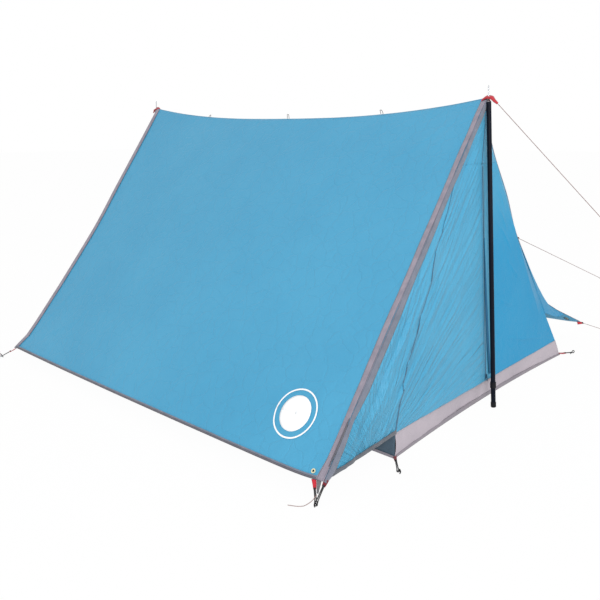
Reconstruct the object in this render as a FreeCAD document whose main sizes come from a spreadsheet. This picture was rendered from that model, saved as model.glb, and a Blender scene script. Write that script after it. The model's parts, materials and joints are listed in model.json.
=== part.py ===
import FreeCAD, Part
import math
import os

import Sketcher

# Ridge tent held up by two loose poles. Millimetres, +Z up, ground at z = 0, ridge along Y at x = 0,
# door end at -Y. "Near" is the -X side and "far" is the +X side.

V = FreeCAD.Vector
DIMENSIONS = {
    "ridge_length": 2152, "ridge_height": 1250, "ridge_sag": 70,
    "fly_half_width": 1114, "fly_front_corner_height": 76, "fly_rear_corner_height": 60,
    "fly_rear_corner_reach": 872, "far_corner_height": 96, "far_corner_reach": 1149,
    "fabric": 2, "band_width": 46, "hem_width": 20, "binding": 1.6,
    "tub_near": 724, "tub_far": 765, "tub_front": 1176, "tub_rear": 862, "tub_height": 95,
    "tub_bow": 24, "tub_far_lean": 72, "tub_fabric": 2.4,
    "door_top": 1000, "door_bottom": 99, "zip_offset": 50, "door_top_half": 120,
    "door_bottom_half": 650, "fold_gap": 1.5, "zip_tape_width": 12, "zip_tape_height": 892,
    "pole_radius": 9.5, "pole_bore": 8.6, "spigot_radius": 8.4, "spigot_bore": 7.2,
    "spigot_length": 55, "cap_radius": 11, "cap_height": 22,
    "spike_radius": 2.2, "spike_height": 50, "plug_depth": 14, "eyelet_seat": 14,
    "apex_eyelet_ring": 6, "apex_eyelet_tube": 1.5,
    "eyelet_radius": 8, "eyelet_bore": 4, "eyelet_height": 4.4,
    "tab_length": 34, "tab_root_half": 11, "tab_tip_half": 6, "tab_thickness": 2,
    "elastic_radius": 1.5, "peg_radius": 2, "peg_length": 160, "peg_neck": 9, "peg_hook": 6,
    "guy_radius": 1.25, "runner_length": 30, "runner_width": 9, "runner_thickness": 4,
    "runner_hole": 1.7, "slider_length": 16, "slider_width": 9, "slider_thickness": 5,
    "pull_length": 26, "pull_width": 6, "pull_thickness": 1.4,
}

doc = FreeCAD.newDocument("ridge_tent")
dims = doc.addObject("Spreadsheet::Sheet", "dims")
for row, (alias, value) in enumerate(DIMENSIONS.items(), start=1):
    dims.set(f"A{row}", alias)
    dims.set(f"B{row}", str(value))
    dims.setAlias(f"B{row}", alias)
doc.recompute()

nodes = []


def keep(obj, label, placement=None):
    """Name a finished sub-part, place it and list it for export."""
    obj.Label = label
    if placement is not None:
        obj.Placement = placement
    nodes.append(obj)
    return obj


def bind(obj, **sizes):
    """Tie an object's properties to cells of the sheet."""
    for prop, expression in sizes.items():
        obj.setExpression(prop, expression)
    return obj


def frame_at(origin, along, normal):
    """Placement whose local X runs along one direction and whose local Z is closest to another."""
    x_axis = V(along).normalize()
    y_axis = V(normal).cross(x_axis).normalize()
    z_axis = x_axis.cross(y_axis)
    return FreeCAD.Placement(origin, FreeCAD.Rotation(x_axis, y_axis, z_axis, "ZXY"))


def upright_along(origin, axis):
    """Placement whose local Z runs along the axis."""
    return FreeCAD.Placement(origin, FreeCAD.Rotation(V(0, 0, 1), axis))


def mix(a, b, share):
    return a + (b - a) * share


# ---------------------------------------------------------------- the tent's lines
APEX_Y = dims.ridge_length / 2
FRONT_APEX = V(0, -APEX_Y, dims.ridge_height)
REAR_APEX = V(0, APEX_Y, dims.ridge_height)
WALL_LEAN = (dims.tub_front - APEX_Y) / (dims.ridge_height - dims.tub_height)
SAG_POWER = 2.6

# How far the cut of a slanting edge stands back from the straight line, by share of the slope.
SLOPE_SHARES = [0, 0.18, 0.36, 0.55, 0.73, 0.9, 0.95, 1]
NEAR_REAR_SETBACK = [0, 25, 48, 72, 66, 50, 40, 0]
FAR_FRONT_SETBACK = [0, 72, 102, 146, 160, 176, 110, 0]
RIDGE_STATIONS = 9


def wall_y(z):
    """The front wall leans out below the apex."""
    return -APEX_Y - (dims.ridge_height - z) * WALL_LEAN


def rear_y(z):
    """The rear wall leans in below the apex."""
    return APEX_Y - (dims.ridge_height - z) * (APEX_Y - dims.tub_rear) / (dims.ridge_height - dims.tub_height)


def ridge_z(y):
    """No pole runs along the ridge, so it hangs between the apexes."""
    return dims.ridge_height - dims.ridge_sag * (1 - abs(y / APEX_Y) ** SAG_POWER)


def on_wall(x, z):
    return V(x, wall_y(z), z)


def fly_point(side, along, down):
    """A point of a fly panel: side -1 near or 1 far, along 0 front to 1 rear, down 0 ridge to 1 hem."""
    if side < 0:
        front_y, front_z = wall_y(dims.fly_front_corner_height), dims.fly_front_corner_height
        front_set = 0
    else:
        front_y, front_z = -dims.far_corner_reach, dims.far_corner_height
        front_set = setback(FAR_FRONT_SETBACK, down)
    y_front = mix(-APEX_Y, front_y, down) + front_set
    y_rear = mix(APEX_Y, dims.fly_rear_corner_reach, down) - setback(NEAR_REAR_SETBACK, down)
    y = mix(y_front, y_rear, along)
    top = ridge_z(mix(-APEX_Y, APEX_Y, along))
    hem = mix(front_z, dims.fly_rear_corner_height, along)
    return V(side * dims.fly_half_width * down, y, mix(top, hem, down))


def setback(table, share):
    """Read a setback at any share of the slope."""
    for k in range(1, len(SLOPE_SHARES)):
        low, high = SLOPE_SHARES[k - 1], SLOPE_SHARES[k]
        if share <= high:
            return mix(table[k - 1], table[k], (share - low) / (high - low))
    return table[-1]


def outward(side):
    """The outward normal of a fly panel."""
    rise = dims.ridge_height - dims.fly_front_corner_height
    return V(side * rise, 0, dims.fly_half_width).normalize()


# ---------------------------------------------------------------- thin cloth solids
def slab(rows, offset):
    """Closed solid under a grid of points, as thick as the offset."""
    faces, moved = [], [[p + offset for p in row] for row in rows]

    def face(*corners):
        faces.append(Part.Face(Part.makePolygon([*corners, corners[0]])))

    for i in range(len(rows) - 1):
        for j in range(len(rows[0]) - 1):
            for grid in (rows, moved):
                a, b, c, d = grid[i][j], grid[i][j + 1], grid[i + 1][j + 1], grid[i + 1][j]
                face(a, b, c)
                face(a, c, d)
    border = [(0, j) for j in range(len(rows[0]))]
    border += [(i, len(rows[0]) - 1) for i in range(1, len(rows))]
    border += [(len(rows) - 1, j) for j in range(len(rows[0]) - 2, -1, -1)]
    border += [(i, 0) for i in range(len(rows) - 2, 0, -1)]
    for (i, j), (k, m) in zip(border, border[1:] + border[:1]):
        face(rows[i][j], rows[k][m], moved[k][m], moved[i][j])
    solid = Part.makeSolid(Part.makeShell(faces))
    if solid.Volume < 0:
        solid.reverse()
    return solid


def fan(tip, edge, offset):
    """Closed solid of a triangle fan from a tip to the points of an edge."""
    faces = []
    for a, b in zip(edge, edge[1:]):
        for shift in (V(), offset):
            faces.append(Part.Face(Part.makePolygon([tip + shift, a + shift, b + shift, tip + shift])))
    ring = [tip, *edge, tip]
    for a, b in zip(ring, ring[1:]):
        faces.append(Part.Face(Part.makePolygon([a, b, b + offset, a + offset, a])))
    solid = Part.makeSolid(Part.makeShell(faces))
    if solid.Volume < 0:
        solid.reverse()
    return solid


def cloth(label, *solids):
    """A sewn cloth piece, set from solids because its edges follow the hang of the tent."""
    obj = doc.addObject("Part::Feature", label)
    obj.Shape = solids[0] if len(solids) == 1 else Part.makeCompound(list(solids))
    return keep(obj, label, FreeCAD.Placement())


def stations(count):
    return [k / (count - 1) for k in range(count)]


def fly():
    """Two sloping panels with eyelets near their front corners, webbing edge bands and bottom hems."""
    rear_bands, hems, eyelets = [], [], []
    for side, name in ((-1, "near"), (1, "far")):
        rows = [[fly_point(side, a, d) for a in stations(RIDGE_STATIONS)] for d in SLOPE_SHARES]
        rows[0] = [p + V(side * RIDGE_MITRE, 0, -RIDGE_MITRE) for p in rows[0]]
        panel = slab(rows, outward(side) * -dims.fabric)
        low = fly_point(side, *EYELET_AT) - outward(side) * (dims.eyelet_height / 2 + dims.fabric / 2)
        hole = Part.makeCylinder(dims.eyelet_radius + 0.1, 20, low - outward(side) * 8, outward(side))
        cloth(f"fly_{name}_panel", panel.cut(hole))
        washer = Part.makeCylinder(dims.eyelet_radius, dims.eyelet_height, low, outward(side))
        eyelets.append(washer.cut(Part.makeCylinder(dims.eyelet_bore, dims.eyelet_height, low, outward(side))))
        lift, thick = outward(side) * 1.2, outward(side) * dims.binding
        share = dims.band_width / dims.ridge_length * (RIDGE_STATIONS - 1)
        for edge, station in ((0, 1), (1, RIDGE_STATIONS - 2)):
            strip = []
            for d in SLOPE_SHARES[:-1]:
                corner = fly_point(side, edge, d)
                inner = mix(corner, fly_point(side, station / (RIDGE_STATIONS - 1), d), share)
                strip.append([corner + lift, inner + lift])
            strip[0] = [p + V(side * 4, 0, -4) for p in strip[0]]
            if edge == 0:
                cloth(f"{name}_front_band", slab(strip, thick))
            else:
                rear_bands.append(slab(strip, thick))
        rise = 1 - dims.hem_width / dims.fly_half_width / 1.4
        strip = [[fly_point(side, a, d) + lift for a in stations(RIDGE_STATIONS)] for d in (rise, 1)]
        hems.append(slab(strip, thick).cut(hole))
    cloth("rear_bands", *rear_bands)
    cloth("bottom_hems", *hems)
    cloth("corner_eyelets", *eyelets)


EYELET_AT = (0.025, 0.99)
RIDGE_MITRE = 1.9


# ---------------------------------------------------------------- front wall, flaps and rear wall
DOOR_MIDDLE = -dims.zip_offset
NEAR_TOP_EXTRA = 30
NEAR_HINGE = (
    on_wall(DOOR_MIDDLE - dims.door_top_half - NEAR_TOP_EXTRA, dims.door_top),
    on_wall(DOOR_MIDDLE - dims.door_bottom_half, dims.tub_height + 5),
)
FAR_HINGE = (
    on_wall(DOOR_MIDDLE + dims.door_top_half, dims.door_top),
    on_wall(DOOR_MIDDLE + dims.door_bottom_half, dims.tub_height + 5),
)
WALL_NORMAL = V(0, -1, WALL_LEAN).normalize()
SEAM_BEND = on_wall(-485, 540)
NEAR_EDGE_TOP = -226
FLY_CORNER = fly_point(-1, 0, 1)
FAR_HEM_START = on_wall(566, 262)


def hinge_x(hinge, z):
    share = (hinge[0].z - z) / (hinge[0].z - hinge[1].z)
    return mix(hinge[0].x, hinge[1].x, share)


def front_wall():
    """Fixed cloth round the door, the flaps outside the seams and the flaps' hems."""
    inward = WALL_NORMAL * -dims.fabric
    base = dims.tub_height + 3
    top = on_wall(DOOR_MIDDLE, dims.door_top + 3)
    inset = V(dims.band_width * 0.2, 0, 0)
    near_top = on_wall(hinge_x(NEAR_HINGE, dims.door_top) - dims.fold_gap, dims.door_top)
    near_low = on_wall(hinge_x(NEAR_HINGE, base) - dims.fold_gap, base)
    near_corner = on_wall(-dims.tub_near, base)
    side_top = on_wall(NEAR_EDGE_TOP, dims.door_top)
    cloth("front_wall_near", fan(near_top, [near_low, near_corner, SEAM_BEND, side_top], inward))
    far_top = on_wall(hinge_x(FAR_HINGE, dims.door_top) + dims.fold_gap, dims.door_top)
    apex = on_wall(0, dims.ridge_height - 14)
    lift = V(0, 0, 2)
    cloth("front_wall_top", fan(apex, [side_top + lift, near_top + lift, top, far_top + lift], inward))
    cloth(
        "near_front_flap",
        fan(
            SEAM_BEND + V(-1, 0, 0),
            [side_top + V(-2, 0, 0), FLY_CORNER + inset, near_corner + V(-1, 0, 0)],
            inward,
        ),
    )
    far_low = on_wall(hinge_x(FAR_HINGE, base) + dims.fold_gap, base)
    far_corner = on_wall(dims.tub_far - dims.tub_far_lean, base)
    edge = [fly_point(1, 0, d) + V(-6, -1, -4) for d in SLOPE_SHARES[1:6]]
    edge = [apex + V(4, 0, -6), *edge, FAR_HEM_START, far_corner, far_low]
    cloth("front_wall_far", fan(far_top + V(1, 0, 0), edge, inward))
    ear = [edge[5] + V(1, 0, -2), fly_point(1, 0, 0.95) + V(-8, -2, -7)]
    cloth("far_front_flap", fan(FAR_HEM_START + V(4, 0, 0), ear, inward))


def door():
    """Two door leaves that meet at the zip, each hinged on its fold line."""
    z_axis = V(0, WALL_LEAN, 1).normalize()
    slope = math.sqrt(1 + WALL_LEAN**2)
    for side, name in ((-1, "near"), (1, "far")):
        leaf = doc.addObject("PartDesign::Body", f"door_{name}")
        sketch = sketch_in(leaf, "XY_Plane", f"door_{name}_outline")
        extra = NEAR_TOP_EXTRA if side < 0 else 0
        polygon(
            sketch,
            [
                ("1 mm", "0 mm"),
                ("dims.door_bottom_half * 1 mm - dims.fold_gap * 1 mm", "0 mm"),
                (
                    f"dims.door_top_half * 1 mm + {extra} mm - dims.fold_gap * 1 mm",
                    f"(dims.door_top - dims.door_bottom) * {slope:.5f} * 1 mm - 4 mm",
                ),
                ("1 mm", f"(dims.door_top - dims.door_bottom) * {slope:.5f} * 1 mm - 4 mm"),
            ],
        )
        pad = leaf.newObject("PartDesign::Pad", f"door_{name}_pad")
        pad.Profile = sketch
        bind(pad, Length="dims.fabric * 1 mm")
        start = on_wall(DOOR_MIDDLE, dims.door_bottom)
        if side > 0:
            start -= WALL_NORMAL * dims.fabric
        keep(leaf, f"door_{name}", frame_at(start, V(side, 0, 0), z_axis.cross(V(side, 0, 0)) * -1))


def zip_parts():
    """Zip tapes on the leaves' meeting edges, the slider low on the near tape and its pull."""
    tilt = V(0, WALL_LEAN, 1).normalize()
    tape_front = dims.binding + 0.2
    slider_front = tape_front + 0.4 + dims.slider_thickness
    for side, name in ((-1, "near"), (1, "far")):
        tape = doc.addObject("Part::Box", f"zip_tape_{name}")
        bind(tape, Length="dims.zip_tape_width", Width="dims.binding", Height="dims.zip_tape_height")
        start = on_wall(DOOR_MIDDLE, dims.door_bottom + 2) + WALL_NORMAL * tape_front
        start += V(1.2, 0, 0) if side > 0 else V(-dims.zip_tape_width - 1.2, 0, 0)
        turn = FreeCAD.Rotation(V(1, 0, 0), tilt.cross(V(1, 0, 0)), tilt, "ZXY")
        keep(tape, f"zip_tape_{name}", FreeCAD.Placement(start, turn))
    slider = doc.addObject("Part::Box", "slider_block")
    bind(slider, Length="dims.slider_width", Width="dims.slider_thickness", Height="dims.slider_length")
    corner = on_wall(DOOR_MIDDLE - dims.slider_width / 2, dims.door_bottom + 12) + WALL_NORMAL * slider_front
    rounded = doc.addObject("Part::Fillet", "zip_slider")
    slider.Placement = FreeCAD.Placement(corner, turn)
    doc.recompute()
    rounded.Base = slider
    rounded.Edges = [(k + 1, 1.2, 1.2) for k in range(len(slider.Shape.Edges))]
    keep(rounded, "zip_slider")
    pull = doc.addObject("PartDesign::Body", "zip_pull")
    sketch = sketch_in(pull, "XY_Plane", "zip_pull_outline")
    polygon(
        sketch,
        [
            ("0 mm", "dims.pull_width * 0.2 mm"),
            ("dims.pull_length * 1 mm", "0 mm"),
            ("dims.pull_length * 1 mm", "dims.pull_width * 1 mm"),
            ("0 mm", "dims.pull_width * 0.8 mm"),
        ],
    )
    pad = pull.newObject("PartDesign::Pad", "zip_pull_pad")
    pad.Profile = sketch
    bind(pad, Length="dims.pull_thickness * 1 mm")
    hang = on_wall(DOOR_MIDDLE - dims.pull_width / 2, dims.door_bottom + 24)
    hang += WALL_NORMAL * (slider_front + 0.4)
    keep(pull, "zip_pull", frame_at(hang, tilt * -1, WALL_NORMAL))


def rear_wall():
    """Rear wall down to the tub and the two flaps out to the fly's rear corners."""
    base = dims.tub_height + 3
    inward = V(0, -1, 0) * dims.fabric
    tip = V(0, rear_y(dims.ridge_height - 14) - 4, dims.ridge_height - 14)
    low_near = V(-dims.tub_near, rear_y(base) - 4, base)
    low_far = V(dims.tub_far - dims.tub_far_lean, rear_y(base) - 4, base)
    cloth("rear_wall", fan(tip, [low_near, low_far], inward))
    flaps = []
    for side, low in ((-1, low_near), (1, low_far)):
        edge = [fly_point(side, 1, d) + V(-side * 6, -4, -4) for d in SLOPE_SHARES[1:]]
        flaps.append(fan(low + V(side * 1.5, 0, 0), edge, inward))
    cloth("rear_flaps", *flaps)


# ---------------------------------------------------------------- groundsheet tub
def tub():
    """Floor and four low walls of coated cloth; the front wall bows in a little and the far one leans in."""
    near, far = -dims.tub_near, dims.tub_far
    floor = doc.addObject("PartDesign::Body", "tub_floor")
    sketch = sketch_in(floor, "XY_Plane", "tub_floor_outline")
    polygon(
        sketch,
        [
            ("0 mm", "0 mm"),
            ("dims.tub_near * 1 mm + dims.tub_far * 1 mm", "0 mm"),
            (
                "dims.tub_near * 1 mm + dims.tub_far * 1 mm",
                "dims.tub_front * 1 mm + dims.tub_rear * 1 mm - dims.tub_bow * 1 mm - 14 mm",
            ),
            ("0 mm", "dims.tub_front * 1 mm + dims.tub_rear * 1 mm - dims.tub_bow * 1 mm - 14 mm"),
        ],
    )
    pad = floor.newObject("PartDesign::Pad", "tub_floor_pad")
    pad.Profile = sketch
    bind(pad, Length="dims.tub_fabric * 1 mm")
    keep(floor, "tub_floor", FreeCAD.Placement(V(near, -dims.tub_front + dims.tub_bow + 8, 0), FreeCAD.Rotation()))
    wall = doc.addObject("Part::Box", "tub_near_wall")
    long_side = "dims.tub_front + dims.tub_rear - 12"
    bind(wall, Length="dims.tub_fabric", Width=long_side, Height="dims.tub_height")
    seat = V(near - dims.tub_fabric - 0.3, -dims.tub_front + 6, 0)
    keep(wall, "tub_near_wall", FreeCAD.Placement(seat, FreeCAD.Rotation()))
    foot, top = V(far + 2.2, 0, 0), V(far + 2.2 - dims.tub_far_lean, 0, dims.tub_height)
    ends = V(0, -dims.tub_front + 6, 0), V(0, dims.tub_rear - 6, 0)
    cloth("tub_far_wall", slab([[p + end for end in ends] for p in (foot, top)], V(dims.tub_fabric, 0, 0)))
    rear = V(near, dims.tub_rear - 5, 0)
    rows = [[rear, foot + V(-2.2, rear.y, 0)], [rear + V(0, 0, dims.tub_height), top + V(-2.2, rear.y, 0)]]
    cloth("tub_rear_wall", slab(rows, V(0, dims.tub_fabric, 0)))
    cloth("tub_front_wall", slab([tub_edge(0), tub_edge(dims.tub_height)], V(0, dims.tub_fabric, 0)))


EDGE_STEPS = 8


def tub_edge(z):
    """The tub's bowed front edge at a height; its far end leans in towards the top."""
    lean = dims.tub_far_lean * z / dims.tub_height
    points = []
    for k in range(EDGE_STEPS + 1):
        share = k / EDGE_STEPS
        bow = dims.tub_bow * (1 - (2 * share - 1) ** 2)
        points.append(V(mix(-dims.tub_near, dims.tub_far - lean, share), bow - dims.tub_front, z))
    return points


def mesh_strips():
    """Insect mesh between the tub's side walls and the fly panels."""
    strips = []
    for side, x in ((-1, dims.tub_near), (1, dims.tub_far - dims.tub_far_lean)):
        low, high = dims.tub_height + 2, dims.tub_height + 190
        reach = (dims.ridge_height - high) / (dims.ridge_height - 70) * dims.fly_half_width
        rows = [
            [V(side * x, y, low) for y in (-dims.tub_front + 40, dims.tub_rear - 40)],
            [V(side * (reach - 32), y, high) for y in (-dims.tub_front + 330, dims.tub_rear - 200)],
        ]
        strips.append(slab(rows, V(side * 1.2, 0, 1.2)))
    cloth("mesh_strips", *strips)


# ---------------------------------------------------------------- PartDesign helpers
def sketch_in(body, role, name):
    """Sketch on one of the body's own origin planes."""
    plane = [f for f in body.Origin.OriginFeatures if f.Role == role][0]
    sketch = body.newObject("Sketcher::SketchObject", name)
    sketch.AttachmentSupport = [(plane, "")]
    sketch.MapMode = "FlatFace"
    return sketch


def polygon(sketch, corners):
    """Closed outline whose corners are given by expressions; every corner lies at or right of the origin."""
    count = len(corners)
    guess = [V(math.cos(2 * math.pi * k / count), math.sin(2 * math.pi * k / count), 0) * 40 + V(60, 60, 0)
             for k in range(count)]
    for k in range(count):
        sketch.addGeometry(Part.LineSegment(guess[k], guess[(k + 1) % count]), False)
    for k in range(count):
        sketch.addConstraint(Sketcher.Constraint("Coincident", k, 2, (k + 1) % count, 1))
    for k, corner in enumerate(corners):
        for kind, expression, place in zip(("DistanceX", "DistanceY"), corner, (guess[k].x, guess[k].y)):
            number = sketch.addConstraint(Sketcher.Constraint(kind, -1, 1, k, 1, place))
            sketch.setExpression(f"Constraints[{number}]", expression)


def revolved(label, corners, placement):
    """Body made by turning an outline in its XZ plane about its Z axis."""
    body = doc.addObject("PartDesign::Body", label)
    sketch = sketch_in(body, "XZ_Plane", f"{label}_outline")
    polygon(sketch, corners)
    turned = body.newObject("PartDesign::Revolution", f"{label}_turned")
    turned.Profile = sketch
    turned.ReferenceAxis = (sketch, ["V_Axis"])
    turned.Angle = 360
    return keep(body, label, placement)


# ---------------------------------------------------------------- poles
def pole(name, top, foot):
    """Three steel sections with swaged spigots, a foot cap and the plug whose spike goes through the eyelet."""
    axis = (top - foot).normalize()
    along = (top - foot).Length
    sole = 3.8
    third = f"({along:.3f} mm / 3)"
    outer, bore = "dims.pole_radius * 1 mm", "dims.pole_bore * 1 mm"
    spigot, hollow = "dims.spigot_radius * 1 mm", "dims.spigot_bore * 1 mm"
    drop = "dims.spigot_length * 1 mm"
    for label, number in (("top", 2), ("middle", 1)):
        revolved(
            f"{name}_pole_{label}",
            [
                (hollow, "0 mm"), (spigot, "0 mm"), (spigot, drop), (outer, drop),
                (outer, f"{drop} + {third} - 0.6 mm"), (bore, f"{drop} + {third} - 0.6 mm"),
                (bore, f"{drop} + 2 mm"), (hollow, f"{drop} + 2 mm"),
            ],
            upright_along(foot + axis * (along * number / 3 - dims.spigot_length), axis),
        )
    height = f"{third} - {sole} mm - 0.6 mm"
    revolved(
        f"{name}_pole_bottom",
        [(bore, "0 mm"), (outer, "0 mm"), (outer, height), (bore, height)],
        upright_along(foot + axis * sole, axis),
    )
    cap = "dims.cap_radius * 1 mm"
    grip = f"{outer} + 0.1 mm"
    revolved(
        f"{name}_foot_cap",
        [
            ("0 mm", "0 mm"), ("dims.cap_radius * 0.8 mm", "0 mm"), (cap, "3 mm"),
            (cap, "dims.cap_height * 1 mm"), (grip, "dims.cap_height * 1 mm"),
            (grip, f"{sole} mm"), ("0 mm", f"{sole} mm"),
        ],
        upright_along(foot, axis),
    )
    depth = "dims.plug_depth * 1 mm"
    shoulder = f"{depth} + 0.2 mm"
    neck = f"{depth} + dims.eyelet_seat * 0.85 mm"
    tip = f"{depth} + dims.eyelet_seat * 1 mm + dims.spike_height * 1 mm"
    revolved(
        f"{name}_spike",
        [
            ("0 mm", "0 mm"), (f"{bore} - 0.1 mm", "0 mm"), (f"{bore} - 0.1 mm", shoulder),
            (outer, shoulder), ("dims.spike_radius * 1 mm", neck),
            ("dims.spike_radius * 1 mm", f"{tip} - 6 mm"), ("dims.spike_radius * 0.4 mm", tip),
            ("0 mm", tip),
        ],
        upright_along(top - axis * dims.plug_depth, axis),
    )


def seat_to_top(seat, foot):
    """Top of the tube below an eyelet that sits on the spike's neck."""
    return seat - (seat - foot).normalize() * dims.eyelet_seat


FRONT_SEAT, FRONT_FOOT = FRONT_APEX + V(-10, -12, -3), V(-75, -1232, 1.2)
REAR_SEAT, REAR_FOOT = REAR_APEX + V(0, 12, -3), V(0, 1144, 0.5)


# ---------------------------------------------------------------- eyelets, straps and loops
def apex_parts():
    """Eyelets that sit on the pole spikes and the red straps over them."""
    rings = []
    for name, seat, foot, way in (("front", FRONT_SEAT, FRONT_FOOT, -1), ("rear", REAR_SEAT, REAR_FOOT, 1)):
        axis = (seat - foot).normalize()
        eyelet = Part.makeTorus(dims.apex_eyelet_ring, dims.apex_eyelet_tube)
        eyelet.Placement = upright_along(seat, axis)
        rings.append(eyelet)
        over = seat + V(0, 0, dims.apex_eyelet_tube + 2.6)
        half = V(dims.tab_root_half, 0, 0)
        outer = over + V(0, way * 16, -2)
        end = STRAP_END if name == "front" else outer + V(0, way * 20, -18)
        rows = [[p - half, p + half] for p in (over + V(0, way * -40, 0), over + V(0, way * -10, 0), outer)]
        rows.append([end - half * 0.35, end + half * 0.35])
        hole = Part.makeCylinder(dims.apex_eyelet_ring, 40, over - axis * 20, axis)
        cloth(f"{name}_apex_strap", slab(rows, V(0, 0, dims.tab_thickness)).cut(hole))
    cloth("apex_eyelets", *rings)


STRAP_END = FRONT_APEX + V(4, -44, -24)


def hoop(points, radius):
    """Closed cord loop through its corner points, each corner turned by a small arc."""
    corners = len(points)
    edges, ends = [], []
    for k in range(corners):
        before, here, after = points[k - 1], points[k], points[(k + 1) % corners]
        into, out = (before - here).normalize(), (after - here).normalize()
        half_turn = (math.pi - into.getAngle(out)) / 2
        cut = CORNER_RADIUS * math.tan(half_turn)
        start, end = here + into * cut, here + out * cut
        bisector = (into + out).normalize()
        middle = here + bisector * (CORNER_RADIUS / math.cos(half_turn) - CORNER_RADIUS)
        edges.append(Part.Arc(start, middle, end).toShape())
        ends.append((start, end))
    sides = [Part.LineSegment(ends[k][1], ends[(k + 1) % corners][0]).toShape() for k in range(corners)]
    path = Part.Wire([edge for pair in zip(edges, sides) for edge in pair])
    start = ends[0][1]
    profile = Part.Wire([Part.makeCircle(radius, start, ends[1][0] - start)])
    return path.makePipeShell([profile], True, False)


CORNER_RADIUS = 4.4


def tether(corner, neck, side_way):
    """A webbing tab at a corner and the elastic loop from its tip round the peg's neck."""
    along = (neck - corner).normalize()
    across = (side_way - along * side_way.dot(along)).normalize()
    tip = corner + along * min(dims.tab_length, (neck - corner).Length / 2)
    rows = [
        [corner - across * dims.tab_root_half, corner + across * dims.tab_root_half],
        [tip - across * dims.tab_tip_half, tip + across * dims.tab_tip_half],
    ]
    normal = along.cross(across).normalize()
    webbing = slab([[p - normal * dims.tab_thickness / 2 for p in row] for row in rows], normal * dims.tab_thickness)
    spread = across * (dims.tab_tip_half + 3)
    start = tip + along * (dims.elastic_radius + 0.3)
    past = neck + V(along.x, along.y, 0).normalize() * CORNER_RADIUS * 1.9
    wrap = across * (dims.peg_radius + 4)
    loop = hoop([start - spread, start + spread, past + wrap, past - wrap], dims.elastic_radius)
    return webbing, loop


PEG_LEAN = math.radians(35)
NECK_HEIGHT = 7

# Peg name, corner it holds, neck of the peg at the ground and the outward way of its head.
PEGS = {
    "near_front_peg": ((-1112, -1181, 52), (-1142, -1170), (-1, -0.4)),
    "near_rear_peg": ((-1118, 876, 49), (-1152, 944), (-0.5, 1)),
    "far_rear_peg": ((1118, 876, 49), (1152, 944), (0.5, 1)),
    "tub_near_front_peg": ((-728, -1182, 10), (-800, -1244), (-0.5, -1)),
    "tub_far_front_peg": ((770, -1184, 12), (828, -1216), (1, -0.6)),
    "tub_near_rear_peg": ((-728, 866, 10), (-786, 926), (-0.7, 1)),
    "tub_far_rear_peg": ((770, 866, 10), (828, 926), (0.7, 1)),
    "guy_peg": (None, (1302, -1322), (0.8, -0.7)),
}


def pegs():
    """Bent wire pegs driven at a slant, and the tabs and elastic loops that they hold."""
    fly_tabs, tub_tabs, loops = [], [], []
    for label, (corner, place, way) in PEGS.items():
        neck = V(*place, NECK_HEIGHT)
        out = V(*way, 0).normalize()
        head = out * math.sin(PEG_LEAN) + V(0, 0, math.cos(PEG_LEAN))
        keep(wire_peg(label), label, frame_at(neck, head, head.cross(out)))
        if corner is None:
            continue
        tab, loop = tether(V(*corner), neck, out.cross(V(0, 0, 1)))
        (tub_tabs if label.startswith("tub") else fly_tabs).append(tab)
        loops.append(loop)
    cloth("fly_corner_tabs", *fly_tabs, far_corner_tab())
    cloth("tub_corner_tabs", *tub_tabs)
    cloth("elastic_loops", *loops)


def wire_peg(label):
    """Peg along its own X axis: the neck is at the origin, the point is at -X and the hook is bent over."""
    body = doc.addObject("PartDesign::Body", label)
    path = sketch_in(body, "XY_Plane", f"{label}_path")
    hook, neck, tail = dims.peg_hook, dims.peg_neck, -dims.peg_length
    path.addGeometry(Part.LineSegment(V(tail, 0, 0), V(neck, 0, 0)), False)
    turn = Part.Arc(V(neck, 0, 0), V(neck + hook, hook, 0), V(neck, 2 * hook, 0))
    path.addGeometry(turn, False)
    path.addGeometry(Part.LineSegment(V(neck, 2 * hook, 0), V(neck - hook, 2 * hook, 0)), False)
    profile = sketch_in(body, "YZ_Plane", f"{label}_profile")
    profile.AttachmentOffset = FreeCAD.Placement(V(0, 0, tail), FreeCAD.Rotation())
    profile.addGeometry(Part.Circle(V(0, 0, 0), V(0, 0, 1), 2), False)
    profile.addConstraint(Sketcher.Constraint("Coincident", 0, 3, -1, 1))
    number = profile.addConstraint(Sketcher.Constraint("Radius", 0, 2))
    profile.setExpression(f"Constraints[{number}]", "dims.peg_radius * 1 mm")
    pipe = body.newObject("PartDesign::AdditivePipe", f"{label}_wire")
    pipe.Profile = profile
    pipe.Spine = (path, ["Edge1", "Edge2", "Edge3"])
    return body


def ridge_loops():
    """Three small hanging loops sewn along the ridge."""
    loops = []
    for y in (-572, 0, 600):
        z = ridge_z(y) + 2.2
        base = V(0, y, z)
        points = [base + V(0, -6, 0), base + V(0, 6, 0), base + V(0, 5, 20), base + V(0, -5, 20)]
        loops.append(hoop(points, 1.0))
    cloth("ridge_loops", *loops)


# ---------------------------------------------------------------- guy lines
def rounded_route(points):
    """Straight runs joined by the largest tangent arcs that the runs allow, and the arcs' radii."""
    edges, radii, last = [], [], points[0]
    for before, here, after in zip(points, points[1:], points[2:]):
        into, out = before - here, after - here
        turn = math.pi - into.getAngle(out)
        radius = 0.45 * min(into.Length, out.Length) / math.tan(turn / 2)
        cut = radius * math.tan(turn / 2)
        start, end = here + into.normalize() * cut, here + out.normalize() * cut
        bisector = (into + out).normalize()
        middle = here + bisector * (radius / math.cos(turn / 2) - radius)
        edges += [Part.LineSegment(last, start).toShape(), Part.Arc(start, middle, end).toShape()]
        last = end
        radii.append(round(radius, 1))
    edges.append(Part.LineSegment(last, points[-1]).toShape())
    return Part.Wire(edges), radii


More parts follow.
